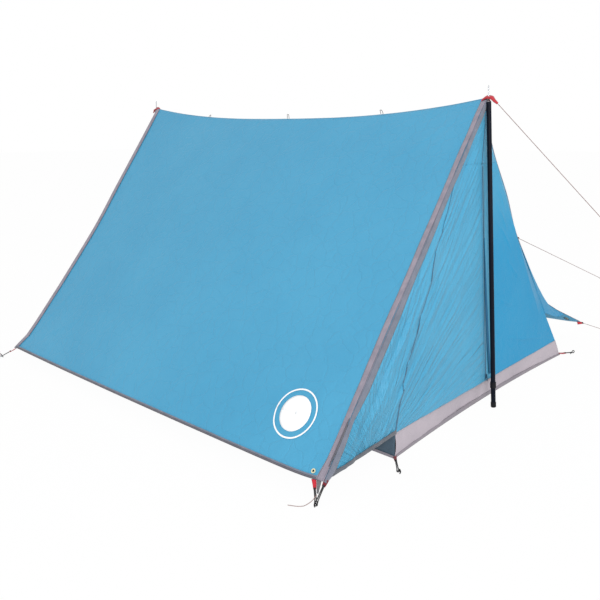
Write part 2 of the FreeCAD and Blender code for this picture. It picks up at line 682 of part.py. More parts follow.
def cord(label, points, radius):
    """A loose cord's tube along its route; its volume is compared with section times length."""
    path, radii = rounded_route(points)
    profile = Part.Wire([Part.makeCircle(radius, points[0], points[1] - points[0])])
    solid = path.makePipeShell([profile], True, False)
    ratio = solid.Volume / (math.pi * radius**2 * path.Length)
    print(f"{label}: {path.Length:.0f} mm, radii {radii}, volume ratio {ratio:.3f}")
    return cloth(label, solid)


# Ends of the taut lines: where they leave the tent and where they end in their runner and loop.
FRONT_GUY = (STRAP_END, V(0, -2420, 0))
SIDE_GUY = (V(626, -976, 600), V(2000, -1420, 0))
CORNER_GUY_START = V(1122, -1158, 90)
FRONT_GUY_LENGTH = 650
SIDE_GUY_LENGTH = 765
LOOSE_CORD = [
    V(-1135, -1168, 34), V(-1143, -1163, 22), V(-1152, -1157, 12), V(-1161, -1150, 5),
    V(-1172, -1144, 1.3), V(-1184, -1132, 1.3), V(-1192, -1118, 1.3), V(-1199, -1103, 1.3),
]


def guys():
    """The three taut guy lines, two of them with runner and end loop, and the loose cord at the near corner."""
    for name, (start, anchor), length in (
        ("front", FRONT_GUY, FRONT_GUY_LENGTH), ("side", SIDE_GUY, SIDE_GUY_LENGTH),
    ):
        way = (anchor - start).normalize()
        end = start + way * length
        line = Part.makeCylinder(dims.guy_radius, length - 1.5, start + way * 1.5, way)
        across = V(0, 0, 1).cross(way).normalize()
        loop_start = end + way * 2.6
        points = [
            loop_start - across * 7, loop_start + across * 7,
            loop_start + way * 52 + across * 9, loop_start + way * 52 - across * 9,
        ]
        cloth(f"{name}_guy_line", line, hoop(points, dims.guy_radius))
        runner = doc.addObject("Part::Box", f"{name}_runner_plate")
        bind(runner, Length="dims.runner_length", Width="dims.runner_width", Height="dims.runner_thickness")
        hole = doc.addObject("Part::Cylinder", f"{name}_runner_hole")
        bind(hole, Radius="dims.runner_hole", Height="dims.runner_length + 20")
        hole.Placement = FreeCAD.Placement(
            V(-10, dims.runner_width / 2, dims.runner_thickness / 2), FreeCAD.Rotation(V(0, 1, 0), 90)
        )
        cut = doc.addObject("Part::Cut", f"{name}_guy_runner")
        cut.Base, cut.Tool = runner, hole
        seat = frame_at(end - way * (dims.runner_length + 12), way, V(0, 0, 1))
        seat.Base = seat.multVec(V(0, -dims.runner_width / 2, -dims.runner_thickness / 2))
        keep(cut, f"{name}_guy_runner", seat)
    neck = V(*PEGS["guy_peg"][1], NECK_HEIGHT)
    way = (neck - CORNER_GUY_START).normalize()
    knot = neck - way * 30
    line = Part.makeCylinder(dims.guy_radius, (knot - CORNER_GUY_START).Length, CORNER_GUY_START, way)
    across = V(0, 0, 1).cross(way).normalize()
    start = knot + way * 2.6
    past = neck + way * CORNER_RADIUS * 1.35
    loop = hoop([start - across * 6, start + across * 6, past + across * 6.5, past - across * 6.5], dims.guy_radius)
    cloth("corner_guy_line", line, loop)
    cord("loose_corner_cord", LOOSE_CORD, dims.guy_radius)


def far_corner_tab():
    """Red webbing tab at the far front corner, where the corner guy line is tied."""
    corner = V(1104, -1144, 90)
    along = (CORNER_GUY_START - corner).normalize()
    across = along.cross(V(0, 0, 1)).normalize()
    end = CORNER_GUY_START - along * 0.5
    rows = [[corner - across * 6, corner + across * 6], [end - across * 3, end + across * 3]]
    return slab(rows, V(0, 0, dims.tab_thickness))


def side_guy_tab():
    """Small webbing tab on the far fly edge that the side guy line is tied to."""
    tab = doc.addObject("Part::Box", "side_guy_tab")
    bind(tab, Length="dims.tab_length * 0.5", Width="dims.tab_root_half", Height="dims.tab_thickness")
    seat = frame_at(SIDE_GUY[0] + V(0, dims.tab_length * 0.5 + 2, 0) + outward(1) * 4, V(0, -1, 0), outward(1))
    seat.Base = seat.multVec(V(0, -dims.tab_root_half / 2, 0))
    keep(tab, "side_guy_tab", seat)


TIE_REACH = 128


def pole_tie():
    """Clip on the foot of the front pole and the strap from the middle of the tub's front edge to it."""
    axis = (FRONT_SEAT - FRONT_FOOT).normalize()
    seat = FRONT_FOOT + axis * 84
    ring = doc.addObject("Part::Cylinder", "pole_clip_outer")
    bind(ring, Radius="dims.pole_radius + 2.6", Height="24")
    bore = doc.addObject("Part::Cylinder", "pole_clip_bore")
    bind(bore, Radius="dims.pole_radius + 0.1", Height="24")
    clip = doc.addObject("Part::Cut", "pole_clip")
    clip.Base, clip.Tool = ring, bore
    keep(clip, "pole_clip", upright_along(seat, axis))
    middle = seat + axis * 12
    start = V(middle.x + TIE_REACH, -dims.tub_front + dims.tub_bow - 1.2, middle.z - 8)
    end = middle + V(1, dims.pole_radius + 3.4, 0)
    half = V(0, 0, dims.tab_tip_half)
    cloth("pole_tie_strap", slab([[start - half, start + half], [end - half, end + half]], V(1.6, 0, 0)))


fly()
front_wall()
door()
zip_parts()
rear_wall()
tub()
mesh_strips()
pole("front", seat_to_top(FRONT_SEAT, FRONT_FOOT), FRONT_FOOT)
pole("rear", seat_to_top(REAR_SEAT, REAR_FOOT), REAR_FOOT)
apex_parts()
pegs()
ridge_loops()
side_guy_tab()
pole_tie()
guys()
doc.recompute()

for obj in doc.Objects:
    if "Invalid" in obj.State or "Error" in obj.State:
        raise RuntimeError(f"{obj.Label} failed: {obj.State}")
os.makedirs("parts", exist_ok=True)
for obj in nodes:
    if obj.Shape.isNull() or not obj.Shape.isValid():
        raise RuntimeError(f"{obj.Label} has no valid shape")
    obj.Shape.exportStep(f"parts/{obj.Label}.step")
print(f"{len(nodes)} nodes")
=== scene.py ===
import json
import math

import bpy
import numpy as np
from mathutils import Matrix, Vector


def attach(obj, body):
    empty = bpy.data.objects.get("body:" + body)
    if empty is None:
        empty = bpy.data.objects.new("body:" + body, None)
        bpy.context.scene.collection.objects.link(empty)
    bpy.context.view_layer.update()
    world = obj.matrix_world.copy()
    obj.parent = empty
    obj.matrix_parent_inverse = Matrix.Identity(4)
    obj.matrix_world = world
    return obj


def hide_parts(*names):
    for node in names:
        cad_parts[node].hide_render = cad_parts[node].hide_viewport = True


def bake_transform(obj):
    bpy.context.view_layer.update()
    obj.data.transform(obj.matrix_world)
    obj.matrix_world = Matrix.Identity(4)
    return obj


# Ridge tent: cloth, webbing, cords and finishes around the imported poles, pegs, eyelets and zip.
# Metres, +Z up, ridge along Y at x = 0, door end at -Y, near side at -X.

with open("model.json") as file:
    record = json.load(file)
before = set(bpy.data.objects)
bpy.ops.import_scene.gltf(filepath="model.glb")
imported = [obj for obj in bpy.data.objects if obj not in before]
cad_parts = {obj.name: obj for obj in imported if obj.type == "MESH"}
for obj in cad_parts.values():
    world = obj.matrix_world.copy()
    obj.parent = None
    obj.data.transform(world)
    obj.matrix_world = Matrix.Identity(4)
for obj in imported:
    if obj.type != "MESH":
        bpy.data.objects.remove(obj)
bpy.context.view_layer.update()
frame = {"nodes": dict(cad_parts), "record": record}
rng = np.random.default_rng(7)

HALF_RIDGE = 1.076
TOP = 1.25
RIDGE_SAG = 0.07
TUB_FRONT, TUB_REAR, TUB_HEIGHT = 1.176, 0.862, 0.095
TUB_NEAR, TUB_FAR = 0.724, 0.765
TUB_FAR_LEAN = 0.072
TUB_BOW = 0.024
HALF_WIDTH = 1.114
NEAR_CORNER_Z, FAR_CORNER_Z, REAR_CORNER_Z = 0.076, 0.096, 0.060
FAR_CORNER_Y, REAR_CORNER_Y = -1.149, 0.872
LEAN = (TUB_FRONT - HALF_RIDGE) / (TOP - TUB_HEIGHT)
ZIP_X = -0.05
DOOR_TOP, DOOR_LOW = 1.0, 0.1
CLOTH = 0.0009
WEAVE_PERIOD = 0.0016
NARROWEST_SHEET = 0.0101
WALL_FOOT = 0.097
ZIP_GAP = 0.0012
WALL_INSET = 0.0008


# --- camera
def camera():
    yaw, pitch, roll = math.radians(47.946), math.radians(14.42), math.radians(-0.179)
    look = Vector((math.sin(yaw) * math.cos(pitch), math.cos(yaw) * math.cos(pitch), -math.sin(pitch)))
    level = Vector((math.cos(yaw), -math.sin(yaw), 0))
    rise = level.cross(look)
    right = level * math.cos(roll) + rise * math.sin(roll)
    data = bpy.data.cameras.new("camera")
    data.lens, data.sensor_width = 40.34, 36
    cam = placed("camera", data)
    turn = Matrix((right, right.cross(look), look * -1)).transposed()
    cam.matrix_world = Matrix.Translation((-2.5569, -2.3824, 1.1387)) @ turn.to_4x4()
    bpy.context.scene.camera = cam


# --- materials
def new_material(name):
    mat = bpy.data.materials.new(name)
    mat.use_nodes = True
    tree = mat.node_tree
    return mat, tree, tree.nodes["Principled BSDF"]


def feed(tree, made, **values):
    """Give a node values by name, with _ for a space: a number or a link for a socket, or else a setting."""
    for key, value in values.items():
        socket = key.replace("_", " ")
        if socket not in made.inputs:
            setattr(made, key, value)
        elif hasattr(value, "is_linked"):
            tree.links.new(value, made.inputs[socket])
        else:
            made.inputs[socket].default_value = value
    return made


def node(tree, kind, **values):
    return feed(tree, tree.nodes.new(kind), **values)


def maths(tree, operation, *values):
    made = node(tree, "ShaderNodeMath", operation=operation)
    for socket, value in zip(made.inputs, values):
        if isinstance(value, (int, float)):
            socket.default_value = value
        else:
            tree.links.new(value, socket)
    return made.outputs[0]


def plus(tree, a, b):
    return maths(tree, "ADD", a, b)


def times(tree, a, b):
    return maths(tree, "MULTIPLY", a, b)


def wave(tree, value, rate):
    return maths(tree, "SINE", times(tree, value, rate))


def axes(tree, vector):
    return node(tree, "ShaderNodeSeparateXYZ", Vector=vector).outputs


def ramp(tree, value, stops):
    """Colours by value: stops of (place, colour)."""
    made = tree.nodes.new("ShaderNodeValToRGB")
    while len(made.color_ramp.elements) < len(stops):
        made.color_ramp.elements.new(0.5)
    for element, (place, colour) in zip(made.color_ramp.elements, stops):
        element.position = place
        element.color = (*colour, 1)
    tree.links.new(value, made.inputs[0])
    return made.outputs[0]


def mixed(tree, share, a, b):
    """Colour between a and b, each a socket or a plain colour, by a share from a socket."""
    made = node(tree, "ShaderNodeMix", data_type="RGBA")
    for slot, value in ((0, share), (6, a), (7, b)):
        if hasattr(value, "is_linked"):
            tree.links.new(value, made.inputs[slot])
        else:
            made.inputs[slot].default_value = (*value, 1)
    return made.outputs[2]


def ranged(tree, value, source, target):
    """Smooth step of a value from one range onto another."""
    made = node(tree, "ShaderNodeMapRange", interpolation_type="SMOOTHSTEP", Value=value, From_Min=source[0],
                From_Max=source[1], To_Min=target[0], To_Max=target[1])
    return made.outputs["Result"]


def bump(tree, shader, height, strength, distance, after=None):
    made = node(tree, "ShaderNodeBump", Strength=strength, Distance=distance, Height=height)
    if after is not None:
        feed(tree, made, Normal=after)
    feed(tree, shader, Normal=made.outputs[0])
    return made.outputs[0]


def coordinates(tree, kind="Object"):
    return tree.nodes.new("ShaderNodeTexCoord").outputs[kind]


def weave(tree, vector):
    """Plain weave height from two crossed sets of threads."""
    x, y, _ = axes(tree, vector)
    rate = 2 * math.pi / WEAVE_PERIOD
    return times(tree, wave(tree, x, rate), wave(tree, y, rate))


def noise(tree, vector, scale, detail=3.0, rough=0.55, stretch=None):
    if stretch is not None:
        vector = node(tree, "ShaderNodeMapping", Scale=stretch, Vector=vector).outputs[0]
    made = node(tree, "ShaderNodeTexNoise", Scale=scale, Detail=detail, Roughness=rough, Vector=vector)
    return made.outputs["Fac"]


def cloth_material(name, colour, deep, roughness, sheen, crumple, flow=0.0, specular=0.36, lit=None):
    """Coated woven cloth: two tones in soft clouds, crumple from packing, plain weave, creases along a flow.

    With lit, its first strip and its top are painted in that lighter colour as painted light."""
    mat, tree, shader = new_material(name)
    space, own = coordinates(tree), coordinates(tree, "UV")
    clouds, fine = noise(tree, space, 2.6, 4.0), noise(tree, space, 38.0, 5.0, 0.65)
    tone = ramp(tree, plus(tree, times(tree, clouds, 0.75), times(tree, fine, 0.25)),
                [(0.36, deep), (0.62, colour)])
    if lit:
        # painted light: the lit colour over the first strip in u and over the top in v, above a base of
        # painted shade
        u, v, _ = axes(tree, own)
        strip = times(tree, ranged(tree, u, (0.042, 0.068), (0, 1)), ranged(tree, v, (0.08, 0.42), (0.25, 1)))
        tone = mixed(tree, strip, lit, tone)
    wear = plus(tree, times(tree, fine, 0.16), roughness - 0.08)
    feed(tree, shader, Base_Color=tone, Roughness=wear, Sheen_Weight=sheen, Sheen_Roughness=0.45,
         Specular_IOR_Level=specular)
    drift = node(tree, "ShaderNodeTexNoise", Scale=9.0, Detail=3.0, Vector=space)
    shift = node(tree, "ShaderNodeVectorMath", operation="SCALE", Scale=0.09, Vector=drift.outputs["Color"])
    bent = node(tree, "ShaderNodeVectorMath", operation="ADD", Vector=space)
    tree.links.new(shift.outputs[0], bent.inputs[1])
    creases = node(tree, "ShaderNodeTexVoronoi", Scale=15.0, feature="DISTANCE_TO_EDGE",
                   Vector=bent.outputs[0])
    lines = maths(tree, "MINIMUM", creases.outputs["Distance"], 0.07)
    rumple = plus(tree, times(tree, lines, 5.0), noise(tree, space, 24.0, 6.0, 0.62))
    first = bump(tree, shader, rumple, crumple, 0.0035)
    if flow:
        ridges = []
        for scale, stretch, share in ((13.0, (1.0, 0.12, 1.0), 1.0), (31.0, (1.0, 0.10, 1.0), 0.35)):
            field = noise(tree, own, scale, 2.0, 0.5, stretch)
            sharp = maths(tree, "ABSOLUTE", maths(tree, "SUBTRACT", field, 0.5))
            ridges.append(times(tree, maths(tree, "MINIMUM", sharp, 0.12), share))
        first = bump(tree, shader, plus(tree, *ridges), flow, 0.035, first)
    bump(tree, shader, weave(tree, space if flow else own), 0.16, 0.0003, first)
    return mat


def webbing_material(name, colour, deep, rib=0.0021, stitch=None, half=0.0):
    """Ribbed tape with a lock-stitch row near each edge; its own coordinates run along and across it."""
    mat, tree, shader = new_material(name)
    along, across, _ = axes(tree, coordinates(tree, "UV"))
    rate = 2 * math.pi / rib
    height = plus(tree, wave(tree, along, rate), times(tree, wave(tree, across, rate * 0.8), 0.6))
    base = ramp(tree, noise(tree, coordinates(tree), 30.0, 4.0), [(0.3, deep), (0.7, colour)])
    if stitch is not None:
        inset = maths(tree, "SUBTRACT", maths(tree, "ABSOLUTE", across), half - 0.004)
        row = maths(tree, "LESS_THAN", maths(tree, "ABSOLUTE", inset), 0.0008)
        thread = times(tree, row, maths(tree, "GREATER_THAN", wave(tree, along, 1500), -0.4))
        base = mixed(tree, thread, base, stitch)
        height = plus(tree, height, times(tree, thread, -2.5))
    feed(tree, shader, Base_Color=base, Roughness=0.74, Sheen_Weight=0.15)
    bump(tree, shader, height, 0.35, 0.0006)
    return mat


def braid_material(name, colour, fleck, scale, share=0.5):
    """Braided cord with a tracer thread."""
    mat, tree, shader = new_material(name)
    space = coordinates(tree)
    strands = node(tree, "ShaderNodeTexWave", Scale=scale * 0.55, Distortion=2.5, wave_type="BANDS",
                   bands_direction="DIAGONAL", Vector=space).outputs["Fac"]
    both = times(tree, strands, noise(tree, space, scale, 1.0))
    base = ramp(tree, both, [(share * 0.4, colour), (share * 0.62, fleck)])
    feed(tree, shader, Base_Color=base, Roughness=0.66)
    bump(tree, shader, strands, 0.5, 0.0004)
    return mat


def hard_material(name, colour, roughness, metallic=0.0, grain=0.12, scale=160.0, worn=None, specular=0.5):
    """Painted, plated or moulded surface with fine grain and faint wear."""
    mat, tree, shader = new_material(name)
    space = coordinates(tree)
    scuffs = noise(tree, space, 18.0, 6.0, 0.7, stretch=(1.0, 1.0, 0.15))
    lighter = worn or tuple(min(1.0, c * 1.35 + 0.01) for c in colour)
    feed(tree, shader, Base_Color=ramp(tree, scuffs, [(0.55, colour), (0.8, lighter)]),
         Roughness=plus(tree, times(tree, scuffs, 0.2), roughness - 0.1), Metallic=metallic,
         Specular_IOR_Level=specular)
    bump(tree, shader, noise(tree, space, scale, 4.0, 0.6), grain, 0.0003)
    return mat


def net_material(name):
    """Fine insect net: dark threads round lighter holes."""
    mat, tree, shader = new_material(name)
    x, y, _ = axes(tree, coordinates(tree, "UV"))
    rate = 2 * math.pi / 0.0024
    holes = times(tree, wave(tree, x, rate), wave(tree, y, rate))
    colour = ramp(tree, plus(tree, times(tree, holes, 0.5), 0.5),
                  [(0.35, (0.02, 0.022, 0.025)), (0.7, (0.10, 0.11, 0.12))])
    feed(tree, shader, Base_Color=colour, Roughness=0.85)
    bump(tree, shader, holes, 0.5, 0.0005)
    return mat


BLUE, DEEP_BLUE = (0.046, 0.255, 0.415), (0.038, 0.236, 0.394)
WALL_BLUE, WALL_DEEP = (0.046, 0.256, 0.408), (0.034, 0.230, 0.380)
SHADE_BLUE, DEEP_SHADE = (0.009, 0.212, 0.395), (0.007, 0.192, 0.368)
MATERIALS = {}


def look(name, kind, *values, **more):
    MATERIALS[name] = kind(name, *values, **more)


look("blue_taffeta", cloth_material, BLUE, DEEP_BLUE, 0.5, 0.05, 0.8)
look("wall_taffeta", cloth_material, WALL_BLUE, WALL_DEEP, 0.5, 0.05, 0.6, flow=0.8)
look("shade_taffeta", cloth_material, SHADE_BLUE, DEEP_SHADE, 0.58, 0.0, 0.35, specular=0.2)
# painted shade: the far half of the front wall darker, with painted light in a strip by the zip and at its top
look("far_half_painted_shade_taffeta", cloth_material, SHADE_BLUE, DEEP_SHADE, 0.56, 0.0, 0.4, specular=0.25, lit=WALL_BLUE)
# painted shade: dark blue for the shadow in the fold beside the zip
look("painted_fold_shade_taffeta", cloth_material, (0.008, 0.105, 0.22), (0.006, 0.085, 0.18), 0.58, 0.0, 0.35,
     specular=0.15)
look("tub_cloth", cloth_material, (0.35, 0.31, 0.345), (0.29, 0.26, 0.295), 0.55, 0.05, 0.5)
look("tub_shade", cloth_material, (0.20, 0.175, 0.20), (0.16, 0.145, 0.17), 0.55, 0.05, 0.5)
# painted shade: the tub's side walls darkened as if in the shadow under the fly
look("painted_shade_slate_cloth", cloth_material, (0.045, 0.075, 0.105), (0.03, 0.055, 0.08), 0.6, 0.0, 0.6)
look("floor_cloth", cloth_material, (0.26, 0.24, 0.265), (0.21, 0.20, 0.22), 0.6, 0.05, 0.4)
look("grey_webbing", webbing_material, (0.235, 0.205, 0.25), (0.165, 0.15, 0.19),
     stitch=(0.06, 0.055, 0.08), half=0.0145)
# painted shade: the grey tape darkened for its faces that turn from the light
look("painted_shade_webbing", webbing_material, (0.140, 0.150, 0.195), (0.095, 0.110, 0.150),
     stitch=(0.05, 0.05, 0.07), half=0.0175)
# painted deep shade: the grey tape at its darkest, for faces turned down and twisted folds
look("painted_deep_shade_webbing", webbing_material, (0.090, 0.085, 0.105), (0.060, 0.060, 0.078),
     stitch=(0.03, 0.03, 0.04), half=0.007)
look("slate_webbing", webbing_material, (0.085, 0.094, 0.115), (0.055, 0.063, 0.08),
     stitch=(0.03, 0.03, 0.04), half=0.007)
look("red_webbing", webbing_material, (0.43, 0.004, 0.018), (0.30, 0.003, 0.012),
     stitch=(0.14, 0.004, 0.01), half=0.011)
look("dark_red_webbing", webbing_material, (0.17, 0.003, 0.012), (0.10, 0.002, 0.008))
look("dark_webbing", webbing_material, (0.030, 0.030, 0.036), (0.016, 0.016, 0.02))
look("grey_patch", webbing_material, (0.13, 0.13, 0.135), (0.08, 0.08, 0.09))
look("seam_binding", webbing_material, (0.022, 0.110, 0.195), (0.012, 0.065, 0.125), rib=0.0042)
look("insect_mesh", net_material)
look("black_elastic", braid_material, (0.006, 0.006, 0.007), (0.02, 0.02, 0.022), 300.0, 0.7)
look("reflective_cord", braid_material, (0.10, 0.025, 0.022), (0.36, 0.28, 0.26), 420.0)
look("black_steel", hard_material, (0.004, 0.0055, 0.011), 0.4, grain=0.06, specular=0.06)
look("black_plastic", hard_material, (0.006, 0.006, 0.008), 0.5, grain=0.3, scale=420.0, specular=0.12)
look("bright_steel", hard_material, (0.36, 0.37, 0.39), 0.3, metallic=1.0, grain=0.05)
look("peg_steel", hard_material, (0.008, 0.008, 0.010), 0.45, worn=(0.03, 0.028, 0.028), specular=0.15)
look("brass_eyelet", hard_material, (0.84, 0.76, 0.50), 0.3, metallic=1.0, worn=(0.92, 0.86, 0.66))
look("zip_tape", webbing_material, (0.036, 0.212, 0.355), (0.030, 0.190, 0.325), rib=0.0012)
look("zip_metal", hard_material, (0.010, 0.050, 0.095), 0.4, specular=0.2)
look("print_white", cloth_material, (0.70, 0.71, 0.72), (0.64, 0.66, 0.68), 0.5, 0.05, 0.2)


def dress(obj, slot, material=None):
    obj.data.materials.clear()
    obj.data.materials.append(MATERIALS[material or slot])
    return obj


# --- shapes
def placed(name, data):
    """New object of some data in the scene."""
    obj = bpy.data.objects.new(name, data)
    bpy.context.collection.objects.link(obj)
    return obj


def join(*parts):
    return np.stack(parts, axis=-1)


def unit(ways):
    return ways / np.linalg.norm(ways, axis=-1, keepdims=True)


def shares(rows, cols):
    """Even shares from 0 to 1 down and across a sheet."""
    return np.linspace(0, 1, rows)[:, None], np.linspace(0, 1, cols)[None, :]


def smooth_table(x, places, values):
    """Monotone cubic through a few points."""
    places, values = np.array(places, float), np.array(values, float)
    steps = np.diff(places)
    slopes = np.diff(values) / steps
    tangent = np.zeros_like(values)
    tangent[0], tangent[-1] = slopes[0], slopes[-1]
    for k in range(1, len(values) - 1):
        if slopes[k - 1] * slopes[k] > 0:
            tangent[k] = 2 / (1 / slopes[k - 1] + 1 / slopes[k])
    x = np.asarray(x, float)
    k = np.clip(np.searchsorted(places, x) - 1, 0, len(steps) - 1)
    s = np.clip((x - places[k]) / steps[k], 0, 1)
    a, b = values[k], values[k + 1]
    return (a * (1 + 2 * s) * (1 - s) ** 2 + b * s**2 * (3 - 2 * s)
            + tangent[k] * steps[k] * s * (1 - s) ** 2 - tangent[k + 1] * steps[k] * s**2 * (1 - s))


def wall_y(z):
    return -HALF_RIDGE - (TOP - z) * LEAN


def rear_y(z):
    return HALF_RIDGE - (TOP - z) * (HALF_RIDGE - TUB_REAR) / (TOP - TUB_HEIGHT)


def ridge_z(y):
    return TOP - RIDGE_SAG * (1 - np.abs(y / HALF_RIDGE) ** 2.6)


SLOPE_SHARES = (0, 0.18, 0.36, 0.55, 0.73, 0.9)
REAR_SETBACK = (0, 0.025, 0.048, 0.072, 0.066, 0.050)
FAR_SETBACK = (0, 0.072, 0.102, 0.146, 0.160, 0.176)


def setback(table, d, at_95):
    smooth = smooth_table(np.minimum(d, 0.9), SLOPE_SHARES, table)
    return np.where(d <= 0.9, smooth, np.interp(d, (0.9, 0.95, 1.0), (table[-1], at_95, 0)))


def fly_point(side, a, d):
    """Points of a fly panel: side -1 near or 1 far, a 0 front to 1 rear, d 0 ridge to 1 hem."""
    a, d = np.broadcast_arrays(np.asarray(a, float), np.asarray(d, float))
    if side < 0:
        front_y, front_z, front_set = wall_y(NEAR_CORNER_Z), NEAR_CORNER_Z, 0
    else:
        front_y, front_z, front_set = FAR_CORNER_Y, FAR_CORNER_Z, setback(FAR_SETBACK, d, 0.110)
    y_front = -HALF_RIDGE + (front_y + HALF_RIDGE) * d + front_set
    y_rear = HALF_RIDGE + (REAR_CORNER_Y - HALF_RIDGE) * d - setback(REAR_SETBACK, d, 0.040)
    y = y_front + (y_rear - y_front) * a
    top = ridge_z(-HALF_RIDGE + 2 * HALF_RIDGE * a)
    hem = front_z + (REAR_CORNER_Z - front_z) * a
    return join(side * HALF_WIDTH * d, y, top + (hem - top) * d)


def hem_sag(a):
    """Share of the slope by which the bottom edge hangs past a straight line."""
    return 0.009 * (1 - np.exp(-a / 0.03)) * (1 - a**3)


def outward(side):
    rise = TOP - NEAR_CORNER_Z
    return np.array([side * rise, 0, HALF_WIDTH]) / math.hypot(rise, HALF_WIDTH)


def sheet_mesh(name, grid, uv=None, thickness=CLOTH, hole=None):
    """Grid of points to a cloth mesh with its own coordinates in metres and a real thickness."""
    rows, cols = grid.shape[:2]
    number = np.arange(rows * cols).reshape(rows, cols)
    quads = join(number[:-1, :-1], number[:-1, 1:], number[1:, 1:], number[1:, :-1]).reshape(-1, 4)
    if hole is not None:
        quads = np.delete(quads, hole[0] * (cols - 1) + hole[1], axis=0)
    mesh = bpy.data.meshes.new(name)
    mesh.from_pydata(grid.reshape(-1, 3).tolist(), [], quads.tolist())
    if uv is None:
        along = np.linalg.norm(np.diff(grid, axis=1, prepend=grid[:, :1]), axis=-1).cumsum(axis=1)
        down = np.linalg.norm(np.diff(grid, axis=0, prepend=grid[:1]), axis=-1).cumsum(axis=0)
        uv = join(along, down)
    layer = mesh.uv_layers.new(name="cloth")
    corners = np.zeros(len(mesh.loops), np.int32)
    mesh.loops.foreach_get("vertex_index", corners)
    layer.data.foreach_set("uv", uv.reshape(-1, 2)[corners].astype(np.float32).ravel())
    mesh.polygons.foreach_set("use_smooth", np.ones(len(mesh.polygons), bool))
    obj = placed(name, mesh)
    solid = obj.modifiers.new("thickness", "SOLIDIFY")
    solid.thickness, solid.offset = thickness, 0
    return obj


def declare_sheet(grid):
    """Measures the cloth's width and length and returns early when either is under the narrowest sheet;
    nothing more is done with them.
    """
    width, length = (round(float(max(np.linalg.norm(np.diff(grid, axis=k), axis=-1).sum(axis=k))), 3)
                     for k in (1, 0))
    if min(width, length) < NARROWEST_SHEET:
        return


def cloth(name, grid, stands_for, rests_on, material=None, uv=None, slot="blue_taffeta", held="stretched",
          **more):
    """A fixed sheet that stands for a CAD node."""
    obj = dress(sheet_mesh(name, grid, uv, **more), slot, material)
    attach(obj, "tent")
    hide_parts(stands_for)
    declare_sheet(grid)


def wrinkle_field(points, creases):
    """Height at points of the flat cloth from creases: each a polyline with a width and a height."""
    height = np.zeros(len(points))
    for line, width, tall in creases:
        beside = np.all((points > line.min(axis=0) - 4 * width) & (points < line.max(axis=0) + 4 * width),
                        axis=1)
        close = points[beside]
        lengths = np.r_[0, np.linalg.norm(np.diff(line, axis=0), axis=1).cumsum()]
        near, place = np.full(len(close), 9.0), np.zeros(len(close))
        for a, b, start in zip(line, line[1:], lengths):
            way = b - a
            size = np.linalg.norm(way)
            s = np.clip((close - a) @ way / size**2, 0, 1)
            gap = np.linalg.norm(close - a - s[:, None] * way, axis=1)
            closer = gap < near
            near = np.where(closer, gap, near)
            place = np.where(closer, (start + s * size) / lengths[-1], place)
        fade = np.sin(np.pi * np.clip(place, 0, 1)) ** 0.8
        height[beside] += tall * fade * np.exp(-((near / width) ** 1.4))
    return height


def flow_lines(count, pick, angle, length, width, tall):
    """Random creases that follow an angle field from random seeds."""
    lines = []
    for _ in range(count):
        seed = pick()
        size = rng.uniform(*length)
        half = []
        for way in (-1, 1):
            here, steps = np.array(seed, float), []
            for _ in range(4):
                turn = angle(*here)
                here = here + way * size / 8 * np.array([math.cos(turn), math.sin(turn)])
                steps.append(here)
            half.append(steps)
        line = np.array(half[0][::-1] + [seed] + half[1])
        lines.append((line, rng.uniform(*width), rng.uniform(*tall) * rng.choice((-1, 1), p=(0.45, 0.55))))
    return lines


def soft_noise(points, size, seed):
    """Smooth value noise on flat coordinates, from -1 to 1."""
    local = np.random.default_rng(seed)
    table = local.uniform(-1, 1, (64, 64))
    p = points / size + 40.0
    k = np.floor(p).astype(int)
    f = p - k
    f = f * f * (3 - 2 * f)
    x0, y0 = k[..., 0] % 64, k[..., 1] % 64
    x1, y1 = (x0 + 1) % 64, (y0 + 1) % 64
    a = table[x0, y0] * (1 - f[..., 0]) + table[x1, y0] * f[..., 0]
    b = table[x0, y1] * (1 - f[..., 0]) + table[x1, y1] * f[..., 0]
    return a * (1 - f[..., 1]) + b * f[..., 1]


def crumple(points, seed, fine=0.0004, coarse=0.0012):
    return (coarse * soft_noise(points, 0.16, seed) + 0.6 * coarse * soft_noise(points, 0.07, seed + 1)
            + fine * soft_noise(points, 0.03, seed + 2))


# --- fly panels
PANEL_SIZE = (2.1, 1.59)
EYELET_AT = (0.025, 0.99)
HOLE_HALF = 0.0036


def corner_creases():
    """Tension folds that fan in from the four corners of a panel."""
    creases = []
    for cx in (0, PANEL_SIZE[0]):
        for cy in (0, PANEL_SIZE[1]):
            for _ in range(11):
                aim = math.atan2(PANEL_SIZE[1] / 2 - cy, PANEL_SIZE[0] / 2 - cx) + rng.uniform(-0.66, 0.66)
                start = 0.05 + rng.uniform(0, 0.07)
                reach = start + rng.uniform(0.12, 0.5)
                way = np.array([math.cos(aim), math.sin(aim)])
                line = np.array([cx, cy]) + np.outer((start, (start + reach) / 2, reach), way)
                creases.append((line, rng.uniform(0.006, 0.016), rng.uniform(-0.0018, 0.0022)))
    return creases


def panel_angle(x, y):
    return math.radians(20 + 40 * math.sin(2.1 * x + 3.0 * y))


def panel_seed():
    return rng.uniform((0.15, 0.15), (1.95, 1.4))


PANEL_CREASES = {
    side: corner_creases() + flow_lines(34, panel_seed, panel_angle, (0.05, 0.22), (0.004, 0.009),
                                        (0.0003, 0.0009))
    for side in (-1, 1)
}


def panel_relief(side, a, d):
    """Tension folds from the corners and soft crumple, faded towards the sewn edges."""
    flat = join(a * PANEL_SIZE[0], d * PANEL_SIZE[1])
    height = wrinkle_field(flat.reshape(-1, 2),
                           PANEL_CREASES[side]).reshape(a.shape) + crumple(flat, 11 + side)
    edge = np.minimum.reduce([flat[..., 0], PANEL_SIZE[0] - flat[..., 0], PANEL_SIZE[1] - flat[..., 1],
                              flat[..., 1] + 0.02])
    belly = -0.007 * np.sin(np.pi * a) * np.sin(np.pi * d)
    return height * np.clip(edge / 0.06, 0, 1) + belly - 0.001


def lines_round(count, centre, half):
    """Even grid lines with two of them placed either side of a punched hole."""
    lines = np.linspace(0, 1, count)
    lines = lines[np.abs(lines - centre) > 2 * half]
    return np.sort(np.r_[lines, centre - half, centre + half])


